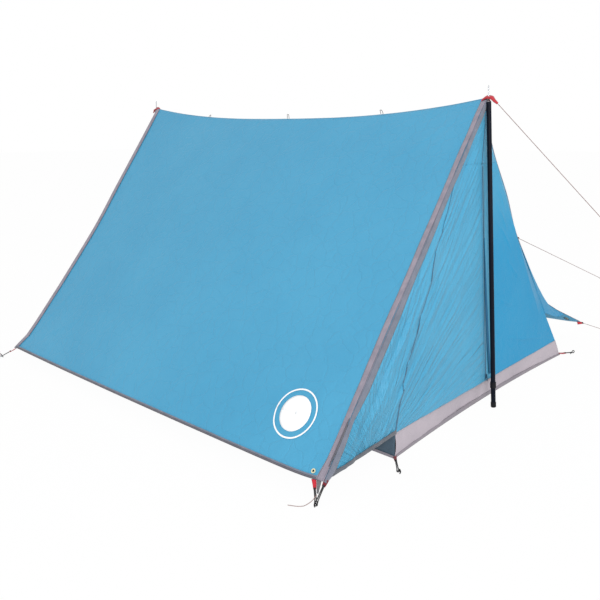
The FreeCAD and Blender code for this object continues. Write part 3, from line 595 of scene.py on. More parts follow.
def fly_panel(side, name):
    columns = lines_round(170, EYELET_AT[0], HOLE_HALF / PANEL_SIZE[0])
    hole_d = EYELET_AT[1] / (1 + hem_sag(EYELET_AT[0]))
    rows = lines_round(130, hole_d, HOLE_HALF / PANEL_SIZE[1])
    hole = (np.searchsorted(rows, hole_d) - 1, np.searchsorted(columns, EYELET_AT[0]) - 1)
    a, d = np.meshgrid(columns, rows)
    grid = fly_point(side, a, d * (1 + hem_sag(a))) + outward(side) * panel_relief(side, a, d)[..., None]
    if side > 0:
        grid[0] += (0.0006, 0, 0)
    cloth(name, grid, name, ["apex_eyelets", "front_pole_top", "rear_pole_top"], hole=hole)


def ribbon(name, centre, across, width, thickness, slot, material=None, body="tent", crown=0.0, columns=5,
           stands_for=None, rests_on=None):
    """Tape along a line of points; across gives the sideways direction, one for all points or one at each."""
    centre = np.asarray(centre, float)
    across = unit(np.broadcast_to(np.asarray(across, float), centre.shape))
    share = np.linspace(-0.5, 0.5, columns)
    grid = centre[None] + share[:, None, None] * np.asarray(width).reshape(1, -1, 1) * across[None]
    along = np.r_[0, np.linalg.norm(np.diff(centre, axis=0), axis=1).cumsum()]
    normal = unit(np.cross(np.gradient(centre, axis=0), across))
    grid = grid + normal[None] * (crown * (1 - (2 * share) ** 2))[:, None, None]
    widths = np.broadcast_to(np.asarray(width, float).reshape(-1), along.shape)
    uv = join(np.broadcast_to(along, grid.shape[:2]), share[:, None] * widths[None])
    obj = dress(sheet_mesh(name, grid, uv, thickness), slot, material)
    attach(obj, body)
    if stands_for:
        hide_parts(stands_for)
    if rests_on:
        declare_sheet(grid)


def fly_bands():
    """Edge tapes: a folded one down the near front edge, single ones on the other slanting edges."""
    d = np.linspace(0.004, 1.002, 150)
    panel_way = unit(fly_point(-1, 0.1, d) - fly_point(-1, 0, d))
    edge = fly_point(-1, 0.0, d)
    wobble = 0.0022 * soft_noise(join(d * 1.6, d * 0), 0.09, 5)
    twist = np.clip((d - 0.86) / 0.12, 0, 1)
    lift = 0.0022 + 0.0012 * np.abs(wobble / 0.0022)
    wide = np.interp(d, (0, 0.75, 0.9, 0.96, 1), (0.0215, 0.0235, 0.019, 0.022, 0.032))
    left = edge + panel_way * (wide / 2 - 0.0015 + wobble * 0.5)[:, None] + outward(-1) * lift[:, None]
    ribbon("near_front_band_panel_side", left, panel_way, wide, 0.0011, "grey_webbing",
           stands_for="near_front_band", rests_on="fly_near_panel")
    wall_out = np.array([0, -1, LEAN])
    wall_way = np.array([0.726, 0, -0.688])
    wall_way = wall_way - wall_out * (wall_way @ wall_out) / (1 + LEAN**2)
    wide = np.interp(d, (0, 0.3, 0.6, 0.80, 0.87, 0.93, 0.975, 1),
                     (0.024, 0.026, 0.034, 0.036, 0.020, 0.030, 0.032, 0.016))
    proud = (0.0026 + 0.003 * twist)[:, None]
    right = edge + wall_way * (wide / 2 - 0.003 + wobble)[:, None] + wall_out * proud
    # the wall-side half of the folded band, painted darker as painted shade
    ribbon("near_front_band_wall_side", right, wall_way, wide, 0.0011, "grey_webbing", "painted_shade_webbing",
           crown=0.001, stands_for="near_front_band", rests_on="fly_near_panel")
    # a dark ribbon of painted shade in the twist of the band near its foot
    rise = np.sin(np.pi * np.linspace(0, 1, 40))
    bow = wall_out * 0.003 * rise[:, None]
    crease = fly_point(-1, 0.0, np.linspace(0.868, 0.972, 40)) + outward(-1) * 0.0062 + bow
    ribbon("near_front_band_twist_painted_shade", crease, wall_way, 0.0015 + 0.010 * rise**0.7, 0.0009, "grey_webbing",
           "painted_deep_shade_webbing", crown=0.001)
    for side, a, inner, name, node_name in (
        (-1, 1.0, 0.9, "near_rear_band_tape", "rear_bands"),
        (1, 1.0, 0.9, "far_rear_band_tape", "rear_bands"),
        (1, 0.0, 0.1, "far_front_band_tape", "far_front_band"),
    ):
        edge = fly_point(side, a, d)
        way = unit(fly_point(side, inner, d) - edge)
        centre = edge + way * 0.0125 + outward(side) * 0.0022
        panel = "fly_near_panel" if side < 0 else "fly_far_panel"
        ribbon(name, centre, way, 0.025, 0.0012, "grey_webbing", stands_for=node_name, rests_on=panel)


def bottom_hems():
    """Folded binding over the bottom edge of each panel, in two tones of painted shade: its outer face darker
    than the tape, its turned-under face darker still.
    """
    a = np.linspace(0.004, 0.996, 170)
    for side, name in ((-1, "near"), (1, "far")):
        edge = fly_point(side, a, 1.0 + hem_sag(a))
        down = unit(edge - fly_point(side, a, 0.98 + hem_sag(a)))
        ripple = 0.0012 * soft_noise(join(a * 2.1, a * 0), 0.12, 9 + side)[:, None] * outward(side)
        # upper fold in painted shade, lower turned-under fold in deeper painted shade
        for part, inset, width, material in (("upper", 0.0098, 0.0055, "painted_shade_webbing"),
                                             ("lower", 0.0035, 0.008, "painted_deep_shade_webbing")):
            centre = edge - down * inset + outward(side) * 0.0022 + ripple
            ribbon(f"{name}_hem_{part}_fold", centre, down, width, 0.0013, "grey_webbing", material,
                   crown=0.0006, stands_for="bottom_hems", rests_on=f"fly_{name}_panel")


# --- front wall
SEAM_Z = (0.098, 0.300, 0.420, 0.550, 0.660, 1.0)
SEAM_X = (-0.722, -0.643, -0.562, -0.478, -0.430, -0.226)
FOLD_SLOPE = HALF_WIDTH / (TOP - NEAR_CORNER_Z)
WALL_OUT = np.array([0, -1, LEAN]) / math.hypot(1, LEAN)


def seam_x(z):
    return smooth_table(z, SEAM_Z, SEAM_X)


def far_fold_x(z):
    return np.interp(z, (DOOR_LOW, DOOR_TOP, 1.05, 1.12), (0.6, 0.07, 0.03, 0.0))


def near_angle(x, z):
    """Creases run beside the near edge and lie down towards the foot of the zip."""
    from_edge = (x + (TOP - z) * FOLD_SLOPE) / math.hypot(1, FOLD_SLOPE)
    low = np.clip(1 - z / 1.05, 0, 1)
    return math.radians(48 - 34 * min(1, max(0, from_edge / 0.55)) * low)


def wall_creases():
    def near_seed():
        z = rng.uniform(0.12, 1.12)
        left = -(TOP - z) * FOLD_SLOPE
        return np.array([rng.uniform(left + 0.02, -0.07), z])

    def flap_seed():
        z = rng.uniform(0.12, 0.6)
        left = -(TOP - z) * FOLD_SLOPE
        return np.array([rng.uniform(left + 0.03, left + 0.3), z])

    def far_seed():
        z = rng.uniform(0.62, 1.05)
        return np.array([rng.uniform(0.05, (TOP - z) * FOLD_SLOPE * 0.8), z])

    creases = flow_lines(120, near_seed, near_angle, (0.14, 0.5), (0.005, 0.011), (0.0010, 0.0040))
    creases += flow_lines(60, flap_seed, lambda x, z: near_angle(x, z) + 0.05, (0.1, 0.32), (0.005, 0.010),
                          (0.0014, 0.0046))
    creases += flow_lines(16, far_seed, lambda x, z: math.radians(-38), (0.08, 0.2), (0.005, 0.009),
                          (0.001, 0.0022))
    hand = [
        ([(-0.70, 0.215), (-0.50, 0.262), (-0.295, 0.312)], 0.008, 0.0034),
        ([(-0.42, 0.112), (-0.30, 0.142), (-0.18, 0.18)], 0.008, 0.003),
        ([(-0.62, 0.14), (-0.42, 0.20), (-0.22, 0.27)], 0.007, -0.0028),
        ([(-0.80, 0.243), (-0.66, 0.40), (-0.53, 0.537)], 0.009, 0.0036),
        ([(-0.86, 0.22), (-0.72, 0.37), (-0.60, 0.50)], 0.008, -0.003),
        ([(-0.95, 0.13), (-0.80, 0.20), (-0.66, 0.31)], 0.008, 0.0032),
        ([(0.09, 0.417), (0.15, 0.392), (0.21, 0.377)], 0.006, 0.0034),
        ([(0.137, 0.239), (0.34, 0.187), (0.534, 0.151)], 0.006, 0.0032),
        ([(0.08, 0.90), (0.12, 0.85), (0.15, 0.79)], 0.008, 0.0040),
        ([(0.07, 0.83), (0.12, 0.77), (0.17, 0.70)], 0.009, 0.0044),
        ([(0.10, 0.74), (0.15, 0.68), (0.21, 0.62)], 0.008, 0.0038),
        ([(0.17, 0.58), (0.22, 0.53), (0.29, 0.48)], 0.009, 0.0036),
    ]
    creases += [(np.array(line), width, tall) for line, width, tall in hand]
    return creases


CREASES = wall_creases()


def wall_relief(x, z):
    """Height of the front wall's cloth over its plane, the same for every piece of it."""
    flat = join(x, z)
    height = wrinkle_field(flat.reshape(-1, 2), CREASES).reshape(x.shape) + crumple(flat, 31, 0.0005, 0.0014)
    by_zip = np.abs(x - ZIP_X)
    return height * np.clip((by_zip - 0.008) / 0.03, 0, 1)


def fan_coordinates(grid):
    """Cloth coordinates that fan out from the foot of the seam: angle about it, and distance from it."""
    x, z = grid[..., 0] + 0.88, grid[..., 2] - 0.02
    return join(np.arctan2(z, x), np.hypot(x, z))


def on_wall(x, z, relief=None):
    x, z = np.broadcast_arrays(np.asarray(x, float), np.asarray(z, float))
    height = wall_relief(x, z) if relief is None else np.broadcast_to(relief, x.shape)
    flat = join(x, wall_y(z), z)
    return flat + WALL_OUT * (height - WALL_INSET)[..., None]


def front_wall():
    rows, cols = shares(230, 150)
    # near half below the top of the door, from the seam to the zip
    z = WALL_FOOT + (DOOR_TOP - WALL_FOOT) * (1 - rows) + 0 * cols
    x = seam_x(z) + (ZIP_X - ZIP_GAP - seam_x(z)) * cols
    grid = on_wall(x, z)
    near = dress(sheet_mesh("front_wall_near_half", grid, fan_coordinates(grid)), "blue_taffeta",
                 "wall_taffeta")
    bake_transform(near)
    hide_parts("front_wall_near", "door_near")
    declare_sheet(grid)
    # far half, as high: flat to the fold, then back to the far fly edge
    grid = far_half(z, cols)
    # the far half is painted in the darker shade blue as painted shade, with painted light by the zip and at
    # the top
    far = dress(sheet_mesh("front_wall_far_half", grid), "blue_taffeta", "far_half_painted_shade_taffeta")
    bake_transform(far)
    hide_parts("front_wall_far", "door_far")
    declare_sheet(grid)
    # gusset above the door
    rows, cols = shares(34, 60)
    z = TOP - 0.008 + (DOOR_TOP - 0.006 - TOP + 0.008) * rows + 0 * cols
    left = -(TOP - z) * FOLD_SLOPE
    flat = on_wall(left + (ZIP_X * rows - ZIP_GAP - left) * cols, z)
    for name, grid in (("near", flat), ("far", far_half(z, cols, ZIP_X * rows))):
        cloth(f"front_gusset_{name}", grid, "front_wall_top", ["apex_eyelets"], "wall_taffeta",
              fan_coordinates(grid))


FAR_LOW_X = 0.693
INNER_CORNER = np.array([0.566, wall_y(0.262), 0.262])
EAR_ROOT, EAR_TIP = 0.62, 0.965


def far_edge(z):
    """Right-hand edge of the far half at a height: tub corner, inner corner, then the fly's edge."""
    fly = fly_point(1, 0.0, np.linspace(EAR_ROOT, 0, 160)) + (-0.004, -0.001, -0.003)
    low = np.array([FAR_LOW_X, wall_y(DOOR_LOW - 0.003), DOOR_LOW - 0.003])
    line = np.concatenate([[low], [INNER_CORNER], fly])
    return np.stack([np.interp(z, line[:, 2], line[:, k]) for k in range(3)], axis=-1)


def far_half(z, cols, zip_x=None):
    zip_x = ZIP_X if zip_x is None else zip_x
    edge = far_edge(z)
    zip_points = join(zip_x + ZIP_GAP + 0 * z, wall_y(z), z)
    x = zip_points[..., 0] + (edge[..., 0] - zip_points[..., 0]) * cols
    height = wall_relief(x, z)
    fold = np.maximum(np.minimum(far_fold_x(z), edge[..., 0] - 0.01), zip_x + 0.02)
    beyond = np.clip((x - fold) / np.maximum(edge[..., 0] - fold, 1e-4), 0, 1)
    y = wall_y(z) + (edge[..., 1] - wall_y(z)) * beyond
    return join(x, y, z) + WALL_OUT * (height * (1 - beyond * 0.7) - WALL_INSET)[..., None]


def near_flap():
    """Flap outside the seam, down to the pegged corner of the fly."""
    rows, cols = shares(190, 80)
    low_left = np.array([-1.106, 0.078])
    low_right = np.array([-0.722, 0.098])
    left_z = DOOR_TOP + (low_left[1] - DOOR_TOP) * rows
    right_z = DOOR_TOP + (low_right[1] - DOOR_TOP) * rows
    left_x = -(TOP - left_z) * FOLD_SLOPE + 0.002
    right_x = seam_x(right_z)
    x = left_x + (right_x - left_x) * cols
    z = left_z + (right_z - left_z) * cols
    grid = on_wall(x, z)
    cloth("near_flap_cloth", grid, "near_front_flap", ["fly_near_panel"], "wall_taffeta",
          fan_coordinates(grid))
    line = on_wall(np.linspace(low_left[0] + 0.03, low_right[0], 60), np.linspace(0.0795, 0.0985, 60))
    ribbon("near_flap_hem", line + WALL_OUT * 0.0040 + (0, 0, 0.004), (0.0, LEAN, 1.0), 0.0145, 0.0012,
           "grey_webbing", "slate_webbing", crown=0.0006, rests_on="near_flap_cloth")
    z = np.linspace(0.10, 0.93, 90)
    line = on_wall(seam_x(z), z) + WALL_OUT * 0.0009
    way = np.gradient(line, axis=0)
    width = np.interp(z, (0.10, 0.60, 0.93), (0.008, 0.006, 0.003))
    ribbon("near_wall_seam", line, np.cross(way, WALL_OUT), width, 0.0009, "zip_tape", "seam_binding",
           crown=0.0008)
    z = np.linspace(DOOR_TOP - 0.012, TOP - 0.03, 40)
    line = on_wall(ZIP_X * (TOP - z) / (TOP - DOOR_TOP), z) + WALL_OUT * 0.0009
    ribbon("front_top_seam", line, (1.0, 0, 0), 0.0055, 0.0009, "zip_tape", "seam_binding", crown=0.0006)


def far_flap():
    """The ear: a flap from the wall's inner corner out to the far fly corner."""
    rows, cols = shares(26, 46)
    top = fly_point(1, 0.0, EAR_ROOT + (EAR_TIP - EAR_ROOT) * cols) + (-0.0015, -0.001, -0.0012)
    tip = fly_point(1, 0.0, EAR_TIP) + (-0.0015, -0.001, -0.0022)
    hem = INNER_CORNER + (tip - INNER_CORNER) * cols[..., None]
    bow = np.sin(np.pi * cols**1.3)[..., None] * (0, 0, -0.016)
    grid = top + (hem + bow - top) * rows[..., None]
    flat = join(grid[..., 0], grid[..., 2])
    grid = grid + WALL_OUT * crumple(flat, 51, 0.0004, 0.0012)[..., None]
    cloth("far_flap_cloth", grid, "far_front_flap", ["fly_far_panel"], "shade_taffeta")


# --- zip
def zip_line():
    """Tapes on the leaves' meeting edges with their coil, and a dark strip of painted shade beside it on the
    far leaf, for the shadow of its fold.
    """
    z = np.linspace(0.103, 0.99, 130)
    for side, body in ((-1, "door_near"), (1, "door_far")):
        x = ZIP_X + side * 0.0052
        line = on_wall(x, z, 0.0) + WALL_OUT * 0.0014
        name = "near" if side < 0 else "far"
        ribbon(f"zip_tape_{name}_weave", line, (1.0, 0, 0), 0.0085, 0.001, "zip_tape", body=body, columns=3,
               stands_for=f"zip_tape_{name}", rests_on=f"front_wall_{name}_half")
    coil = bpy.data.curves.new("zip_coil", "CURVE")
    coil.dimensions = "3D"
    turns = 240
    steps = np.arange(turns * 6 + 1)
    angle = steps * math.pi / 3
    height = 0.105 + (0.985 - 0.105) * steps / steps[-1]
    spine = on_wall(ZIP_X + 0.0017 * np.cos(angle), height, 0.0)
    points = spine + WALL_OUT * (0.0026 + 0.0009 * np.sin(angle))[:, None]
    spline = coil.splines.new("POLY")
    spline.points.add(len(points) - 1)
    spline.points.foreach_set("co", np.c_[points, np.ones(len(points))].ravel())
    coil.bevel_depth = 0.0006
    coil.bevel_resolution = 1
    obj = placed("zip_coil", coil)
    dress(obj, "zip_tape", "zip_metal")
    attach(obj, "door_near")
    # a dark strip of painted shade on the far leaf beside the zip, for the shadow of its fold
    z = np.linspace(0.12, 0.70, 60)
    width = np.interp(z, (0.12, 0.44, 0.70), (0.017, 0.015, 0.003))
    middle = np.interp(z, (0.13, 0.235, 0.44, 0.70), (-0.014, -0.026, -0.039, -0.0475))
    line = on_wall(middle, z, 0.0) + WALL_OUT * 0.0042
    ribbon("zip_fold_painted_shade", line, (1.0, 0, 0), width, 0.0009, "zip_tape", "painted_fold_shade_taffeta", body="door_far",
           crown=0.0008)


# --- rear wall, tub and mesh
def rear_cloth():
    rows, cols = shares(80, 80)
    tip_z, base = TOP - 0.014, 0.098
    z = tip_z + (base - tip_z) * rows + 0 * cols
    share = (tip_z - z) / (tip_z - base)
    left, right = -TUB_NEAR * share - 0.001, (TUB_FAR - TUB_FAR_LEAN) * share + 0.001
    x = left + (right - left) * cols
    creases = []
    for foot, way in ((-0.7, 1), (0.7, -1)):
        for _ in range(16):
            aim = math.radians(rng.uniform(22, 66))
            reach = rng.uniform(0.15, 0.5)
            start = np.array([foot, base]) + rng.uniform(0.03,
                                                         0.12) * np.array([way * math.cos(aim),
                                                                           math.sin(aim)])
            end = start + reach * np.array([way * math.cos(aim), math.sin(aim)])
            creases.append((np.array([start, (start + end) / 2, end]), rng.uniform(0.005, 0.011),
                            rng.uniform(-0.0025, 0.0028)))
    flat = join(x, z)
    height = wrinkle_field(flat.reshape(-1, 2), creases).reshape(x.shape) + crumple(flat, 71)
    grid = join(x, rear_y(z) - 0.005 + height, z)
    cloth("rear_wall_cloth", grid, "rear_wall", ["tub_rear_wall", "apex_eyelets"])
    for side, name in ((-1, "near"), (1, "far")):
        cols = np.linspace(0, 1, 50)[None, :]
        t = 0.03 + 0.965 * rows
        inner_z = tip_z + (base - tip_z) * t
        inner_x = (-TUB_NEAR if side < 0 else TUB_FAR - TUB_FAR_LEAN) * t
        inner = join(inner_x, rear_y(inner_z) - 0.005, inner_z)
        outer = fly_point(side, 1.0, t) + (-side * 0.003, -0.003, -0.003)
        grid = inner + (outer - inner) * cols[..., None]
        flat = join(grid[..., 0], grid[..., 2])
        sag = 0.012 * np.sin(np.pi * cols) * t
        grid = grid + np.array([0, -1.0, 0]) * (sag + crumple(flat, 81 + side))[..., None]
        cloth(f"rear_flap_{name}", grid, "rear_flaps", [f"fly_{name}_panel"])


def tub():
    """Groundsheet: floor with slight ruffles and four low walls with a piped top edge and a folded foot."""
    a, b = np.meshgrid(np.linspace(0, 1, 70), np.linspace(0, 1, 90))
    front = -TUB_FRONT + TUB_BOW * (1 - (2 * a - 1) ** 2) + 0.008
    x = -TUB_NEAR + (TUB_NEAR + TUB_FAR) * a
    y = front + (TUB_REAR - 0.006 - front) * b
    flat = join(x, y)
    edge = np.minimum.reduce([a, 1 - a, b, 1 - b])
    lift = (0.0012 + np.abs(crumple(flat, 91, 0.0005, 0.0016))) * np.clip(edge / 0.05, 0, 1) + 0.0008
    grid = join(x, y, lift)
    cloth("tub_floor_cloth", grid, "tub_floor", ["tub_front_wall"], slot="floor_cloth", held="laid")
    # the near and far walls use the slate colour as painted shade
    for k, (name, colour) in enumerate((("front", "tub_cloth"), ("near", "painted_shade_slate_cloth"),
                                        ("far", "painted_shade_slate_cloth"), ("rear", "tub_cloth"))):
        tub_wall(f"tub_{name}_wall", name, colour, 101 + k)


def tub_line(name, s, high):
    """Plan of a tub wall at a height: shares of its length to points, and its outward way."""
    far = TUB_FAR - TUB_FAR_LEAN * high
    if name == "front":
        return -TUB_NEAR + (TUB_NEAR + far) * s, -TUB_FRONT + TUB_BOW * (1 - (2 * s - 1) ** 2), (0, -1)
    if name == "rear":
        return -TUB_NEAR + (TUB_NEAR + far) * s, TUB_REAR - 0.004 + 0 * s, (0, 1)
    y = -TUB_FRONT - (0.003 if name == "near" else -0.005) + (TUB_FRONT + TUB_REAR - 0.005) * s
    if name == "near":
        return -TUB_NEAR - 0.0015 + 0 * s, y, (-1, 0)
    return far + 0.0032 + 0 * s, y, (1, 0)


def tub_wall(node_name, name, colour, seed):
    """One low wall with a buckled face, a piped top edge and a folded foot."""
    s, t = np.meshgrid(np.linspace(0, 1, 170), np.linspace(0, 1, 22))
    x, y, out = tub_line(name, s, t)
    z = 0.0012 + (TUB_HEIGHT + 0.001) * t
    flat = join(s * 1.6, t * 0.095)
    buckle = 0.0034 * soft_noise(flat * (1, 0.6), 0.11, seed) + 0.0016 * soft_noise(flat * (1, 0.4), 0.045,
                                                                                    seed + 10)
    shape = np.sin(np.pi * np.clip(t * 0.94 + 0.03, 0, 1))
    step = (buckle + 0.0030) * shape
    grid = join(x + out[0] * step, y + out[1] * step, z)
    cloth(f"{node_name}_cloth", grid, node_name, ["tub_floor_cloth"], colour, slot="tub_cloth")
    up = join(x[-1] - x[0], y[-1] - y[0], z[-1] - z[0])
    line = join(x[-1] + out[0] * 0.0016, y[-1] + out[1] * 0.0016, z[-1] - 0.0035)
    ribbon(f"{node_name}_piping", line, up, 0.006, 0.0012, "tub_cloth", crown=0.0008,
           rests_on=f"{node_name}_cloth")
    fold = 0.010 + 0.012 * np.clip(np.sin(s[0] * math.pi), 0, 1)
    line = join(x[0] + out[0] * 0.0034, y[0] + out[1] * 0.0034, 0.0012 + fold / 2)
    ribbon(f"{node_name}_foot_fold", line, up, fold, 0.0011, "tub_cloth", "tub_shade", crown=0.0012,
           rests_on=f"{node_name}_cloth")


def mesh_strips():
    for side, x in ((-1, TUB_NEAR), (1, TUB_FAR - TUB_FAR_LEAN)):
        name = "near" if side < 0 else "far"
        s, t = np.meshgrid(np.linspace(0, 1, 60), np.linspace(0, 1, 14))
        high = TUB_HEIGHT + 0.19
        reach = (TOP - high) / (TOP - 0.07) * HALF_WIDTH - 0.032
        y_low = -TUB_FRONT + 0.04 + (TUB_FRONT + TUB_REAR - 0.08) * s
        y_high = -TUB_FRONT + 0.33 + (TUB_FRONT + TUB_REAR - 0.53) * s
        y = y_low + (y_high - y_low) * t
        px = side * (x + (reach - x) * t)
        z = TUB_HEIGHT + 0.002 + 0.188 * t - 0.006 * np.sin(np.pi * t)
        grid = join(px, y, z)
        cloth(f"insect_mesh_{name}", grid, "mesh_strips", [f"tub_{name}_wall"], slot="insect_mesh",
              thickness=0.0006)


# --- tabs, straps and loops
def tube(name, points, radius, slot, stands_for=None, closed=False, resolution=4):
    """Smooth tube along a few control points."""
    curve = bpy.data.curves.new(name, "CURVE")
    curve.dimensions = "3D"
    spline = curve.splines.new("NURBS")
    spline.points.add(len(points) - 1)
    for point, place in zip(spline.points, points):
        point.co = (*place, 1)
    spline.order_u = 3
    spline.use_endpoint_u = not closed
    spline.use_cyclic_u = closed
    curve.bevel_depth = radius
    curve.bevel_resolution = 3
    curve.resolution_u = resolution
    curve.use_fill_caps = True
    obj = placed(name, curve)
    dress(obj, slot)
    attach(obj, "tent")
    if stands_for:
        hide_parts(stands_for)
    return obj


RED, DARK_RED = "red_webbing", "dark_red_webbing"
TETHERS = {
    # cloth corner, peg's neck, outward way, tab's lengths behind and past the corner, width, look
    "near_front": ((-1.112, -1.181, 0.071), (-1.142, -1.170), (-1, -0.4), (0.010, 0.014), 0.018, DARK_RED),
    "near_front_hem": ((-1.120, -1.143, 0.064), (-1.142, -1.170), (-1, -0.4), (0.008, 0.024), 0.016, RED),
    "near_rear": ((-1.118, 0.876, 0.049), (-1.152, 0.944), (-0.5, 1), (0.012, 0.030), 0.018, RED),
    "far_rear": ((1.118, 0.876, 0.049), (1.152, 0.944), (0.5, 1), (0.012, 0.030), 0.018, RED),
    "tub_near_front": ((-0.728, -1.182, 0.010), (-0.800, -1.244), (-0.5, -1), (0.012, 0.030), 0.014, DARK_RED),
    "tub_far_front": ((0.770, -1.184, 0.012), (0.828, -1.216), (1, -0.6), (0.014, 0.030), 0.022, RED),
    "tub_near_rear": ((-0.728, 0.866, 0.010), (-0.786, 0.926), (-0.7, 1), (0.012, 0.030), 0.014, DARK_RED),
    "tub_far_rear": ((0.770, 0.866, 0.010), (0.828, 0.926), (0.7, 1), (0.012, 0.030), 0.014, DARK_RED),
}


def tethers():
    """Webbing tabs at the corners and the elastic loops from their tips round the pegs' necks."""
    steps = np.linspace(0, 1, 9)
    for name, (corner, neck, way, (back, reach), wide, colour) in TETHERS.items():
        corner, neck = Vector(corner), Vector((*neck, 0.007))
        along = (neck - corner).normalized()
        side = Vector((*way, 0)).normalized().cross(Vector((0, 0, 1)))
        across = (side - along * side.dot(along)).normalized()
        normal = along.cross(across).normalized()
        tabs = "tub_corner_tabs" if name.startswith("tub") else "fly_corner_tabs"
        centre = [np.array(corner + along * (reach * s - back * (1 - s))
                           + normal * 0.002 * math.sin(math.pi * s)) for s in steps]
        ribbon(f"{name}_tab", centre, across, wide * (1 - 0.4 * steps), 0.0022, "red_webbing", colour,
               crown=0.0008, stands_for=tabs)
        start, end = corner + along * (reach - 0.004), neck + along * 0.0055
        ring = [start - across * 0.0018, start + across * 0.0018, start + across * 0.0019 + along * 0.008,
                end + across * 0.0022 - along * 0.018, end + across * 0.0042 - along * 0.008,
                end + across * 0.0045 + along * 0.001, end - across * 0.0045 + along * 0.001,
                end - across * 0.0042 - along * 0.008, end - across * 0.0022 - along * 0.018,
                start - across * 0.0019 + along * 0.008]
        tube(f"{name}_elastic", ring, 0.0019, "black_elastic", "elastic_loops", closed=True, resolution=8)
        knot = [start + way for way in (-across * 0.003, normal * 0.003, across * 0.003, -normal * 0.003)]
        tube(f"{name}_elastic_knot", knot, 0.0022, "black_elastic", "elastic_loops", closed=True)


def apex_straps():
    for name, way, seat_x, drop in (("front", -1, -0.010, (0.004, -0.044, -0.024)),
                                    ("rear", 1, 0, (0, 0.041, -0.023))):
        seat = Vector((seat_x, way * (HALF_RIDGE + 0.012), TOP - 0.003))
        end = Vector((0, way * HALF_RIDGE, TOP)) + Vector(drop)
        over = seat + Vector((0, 0, 0.0045))
        route = [over + Vector((0, -way * 0.026, -0.009)), over + Vector((0, -way * 0.014, -0.001)), over,
                 over + Vector((0, way * 0.014, -0.003)), (over + end) / 2 + Vector((0, way * 0.006, -0.003)),
                 end]
        share = np.linspace(0, len(route) - 1, 26)
        centre = np.stack([np.interp(share, range(len(route)), [p[k] for p in route]) for k in range(3)],
                          axis=-1)
        for _ in range(2):
            centre[1:-1] = (centre[:-2] + centre[2:] + 2 * centre[1:-1]) / 4
        width = np.interp(share, (0, 3, len(route) - 1), (0.024, 0.022, 0.010))
        tilt = math.radians(32)
        ribbon(f"{name}_apex_webbing", centre, (math.cos(tilt), 0, math.sin(tilt)), width, 0.003,
               "red_webbing", crown=0.0012, stands_for=f"{name}_apex_strap")


def small_loops():
    for k, y in enumerate((-0.572, 0.0, 0.600)):
        z = float(ridge_z(np.array(y))) + 0.001
        lean = (0.006, 0.0, -0.012)[k]
        tall = (0.018, 0.021, 0.010)[k]
        points = [(0, y - 0.006, z), (0, y - 0.005 + lean * 0.5, z + tall * 0.7), (0, y + lean, z + tall),
                  (0, y + 0.006 + lean, z + tall * 0.9), (0, y + 0.006 + lean * 0.5, z + tall * 0.6),
                  (0, y + 0.006, z)]
        tube(f"ridge_loop_{k + 1}", points, 0.0012, "dark_webbing", "ridge_loops")


# --- guy lines
STRAP_END = Vector((0.004, -HALF_RIDGE - 0.044, TOP - 0.024))
LINE_RADIUS = 0.00125


def taut_line(name, start, anchor, length, node_name):
    """A line pulled straight, tied off in a loop beyond its runner."""
    start, anchor = Vector(start), Vector(anchor)
    way = (anchor - start).normalized()
    across = Vector((0, 0, 1)).cross(way).normalized()
    end = start + way * length
    points = [start, start + way * 0.02, start + way * (length * 0.35), start + way * (length * 0.7),
              end - way * 0.012, end + way * 0.004, end + way * 0.012 + across * 0.007, end + way * 0.030
              + across * 0.010, end + way * 0.048 + across * 0.008, end + way * 0.054,
              end + way * 0.048 - across * 0.008, end + way * 0.030 - across * 0.010,
              end + way * 0.012 - across * 0.007]
    line = tube(name, points, LINE_RADIUS, "reflective_cord", node_name, resolution=10)
    knot = tube(f"{name}_knot", [end + across * 0.003, end + way * 0.006, end - across * 0.003,
                                 end - way * 0.003], 0.0024, "reflective_cord", closed=True)


def guy_lines():
    taut_line("front_guy", STRAP_END, (0, -2.42, 0), 0.650, "front_guy_line")
    taut_line("side_guy", (0.626, -0.976, 0.600), (2.0, -1.42, 0), 0.765, "side_guy_line")
    start, neck = Vector((1.122, -1.158, 0.090)), Vector((1.302, -1.322, 0.007))
    way = (neck - start).normalized()
    across = Vector((0, 0, 1)).cross(way).normalized()
    knot_at = neck - way * 0.030
    points = [start, start + way * 0.02, start.lerp(knot_at, 0.5), knot_at - way * 0.012,
              knot_at + way * 0.002, knot_at + way * 0.008 + across * 0.005, neck + across * 0.0055,
              neck + way * 0.0062, neck - across * 0.0055, knot_at + way * 0.008 - across * 0.005]
    line = tube("corner_guy", points, LINE_RADIUS, "reflective_cord", "corner_guy_line", resolution=10)
    knot = tube("corner_guy_knot", [knot_at + across * 0.003, knot_at + way * 0.005, knot_at - across * 0.003,
                                    knot_at - way * 0.003], 0.0024, "reflective_cord", closed=True)
    route = [(-1.135, -1.168, 0.034), (-1.143, -1.163, 0.022), (-1.152, -1.157, 0.012),
             (-1.161, -1.150, 0.005), (-1.172, -1.144, 0.0013), (-1.184, -1.132, 0.0013),
             (-1.192, -1.118, 0.0013), (-1.199, -1.103, 0.0013)]
    loose = tube("loose_cord", route, LINE_RADIUS, "reflective_cord", "loose_corner_cord", resolution=12)


STRAPS = (
    # name, stands for, ends, sideways, widths, thickness, slot, look
    ("far_corner_tab", "fly_corner_tabs", ((1.098, -1.138, 0.091), (1.122, -1.158, 0.090)),
     (0.45, 0.5, 0.7), (0.018, 0.010), 0.002, "red_webbing", "red_webbing"),
    ("side_guy_webbing", "side_guy_tab", ((0.6289, -0.957, 0.6028), (0.6289, -0.974, 0.6028)),
     (0.69, 0, -0.725), (0.011, 0.009), 0.002, "red_webbing", "dark_red_webbing"),
    ("pole_tie_webbing", "pole_tie_strap", ((0.058, -1.1532, 0.0884), (-0.069, -1.2081, 0.0964)),
     (0, 0, 1), (0.012, 0.012), 0.0016, "dark_webbing", "dark_webbing"),
    ("near_corner_patch", "corner_patches", ((-1.1135, -1.159, 0.074), (-1.131, -1.167, 0.036)),
     (0.2, -0.97, 0.1), (0.018, 0.006), 0.0012, "grey_webbing", "grey_patch"),
)


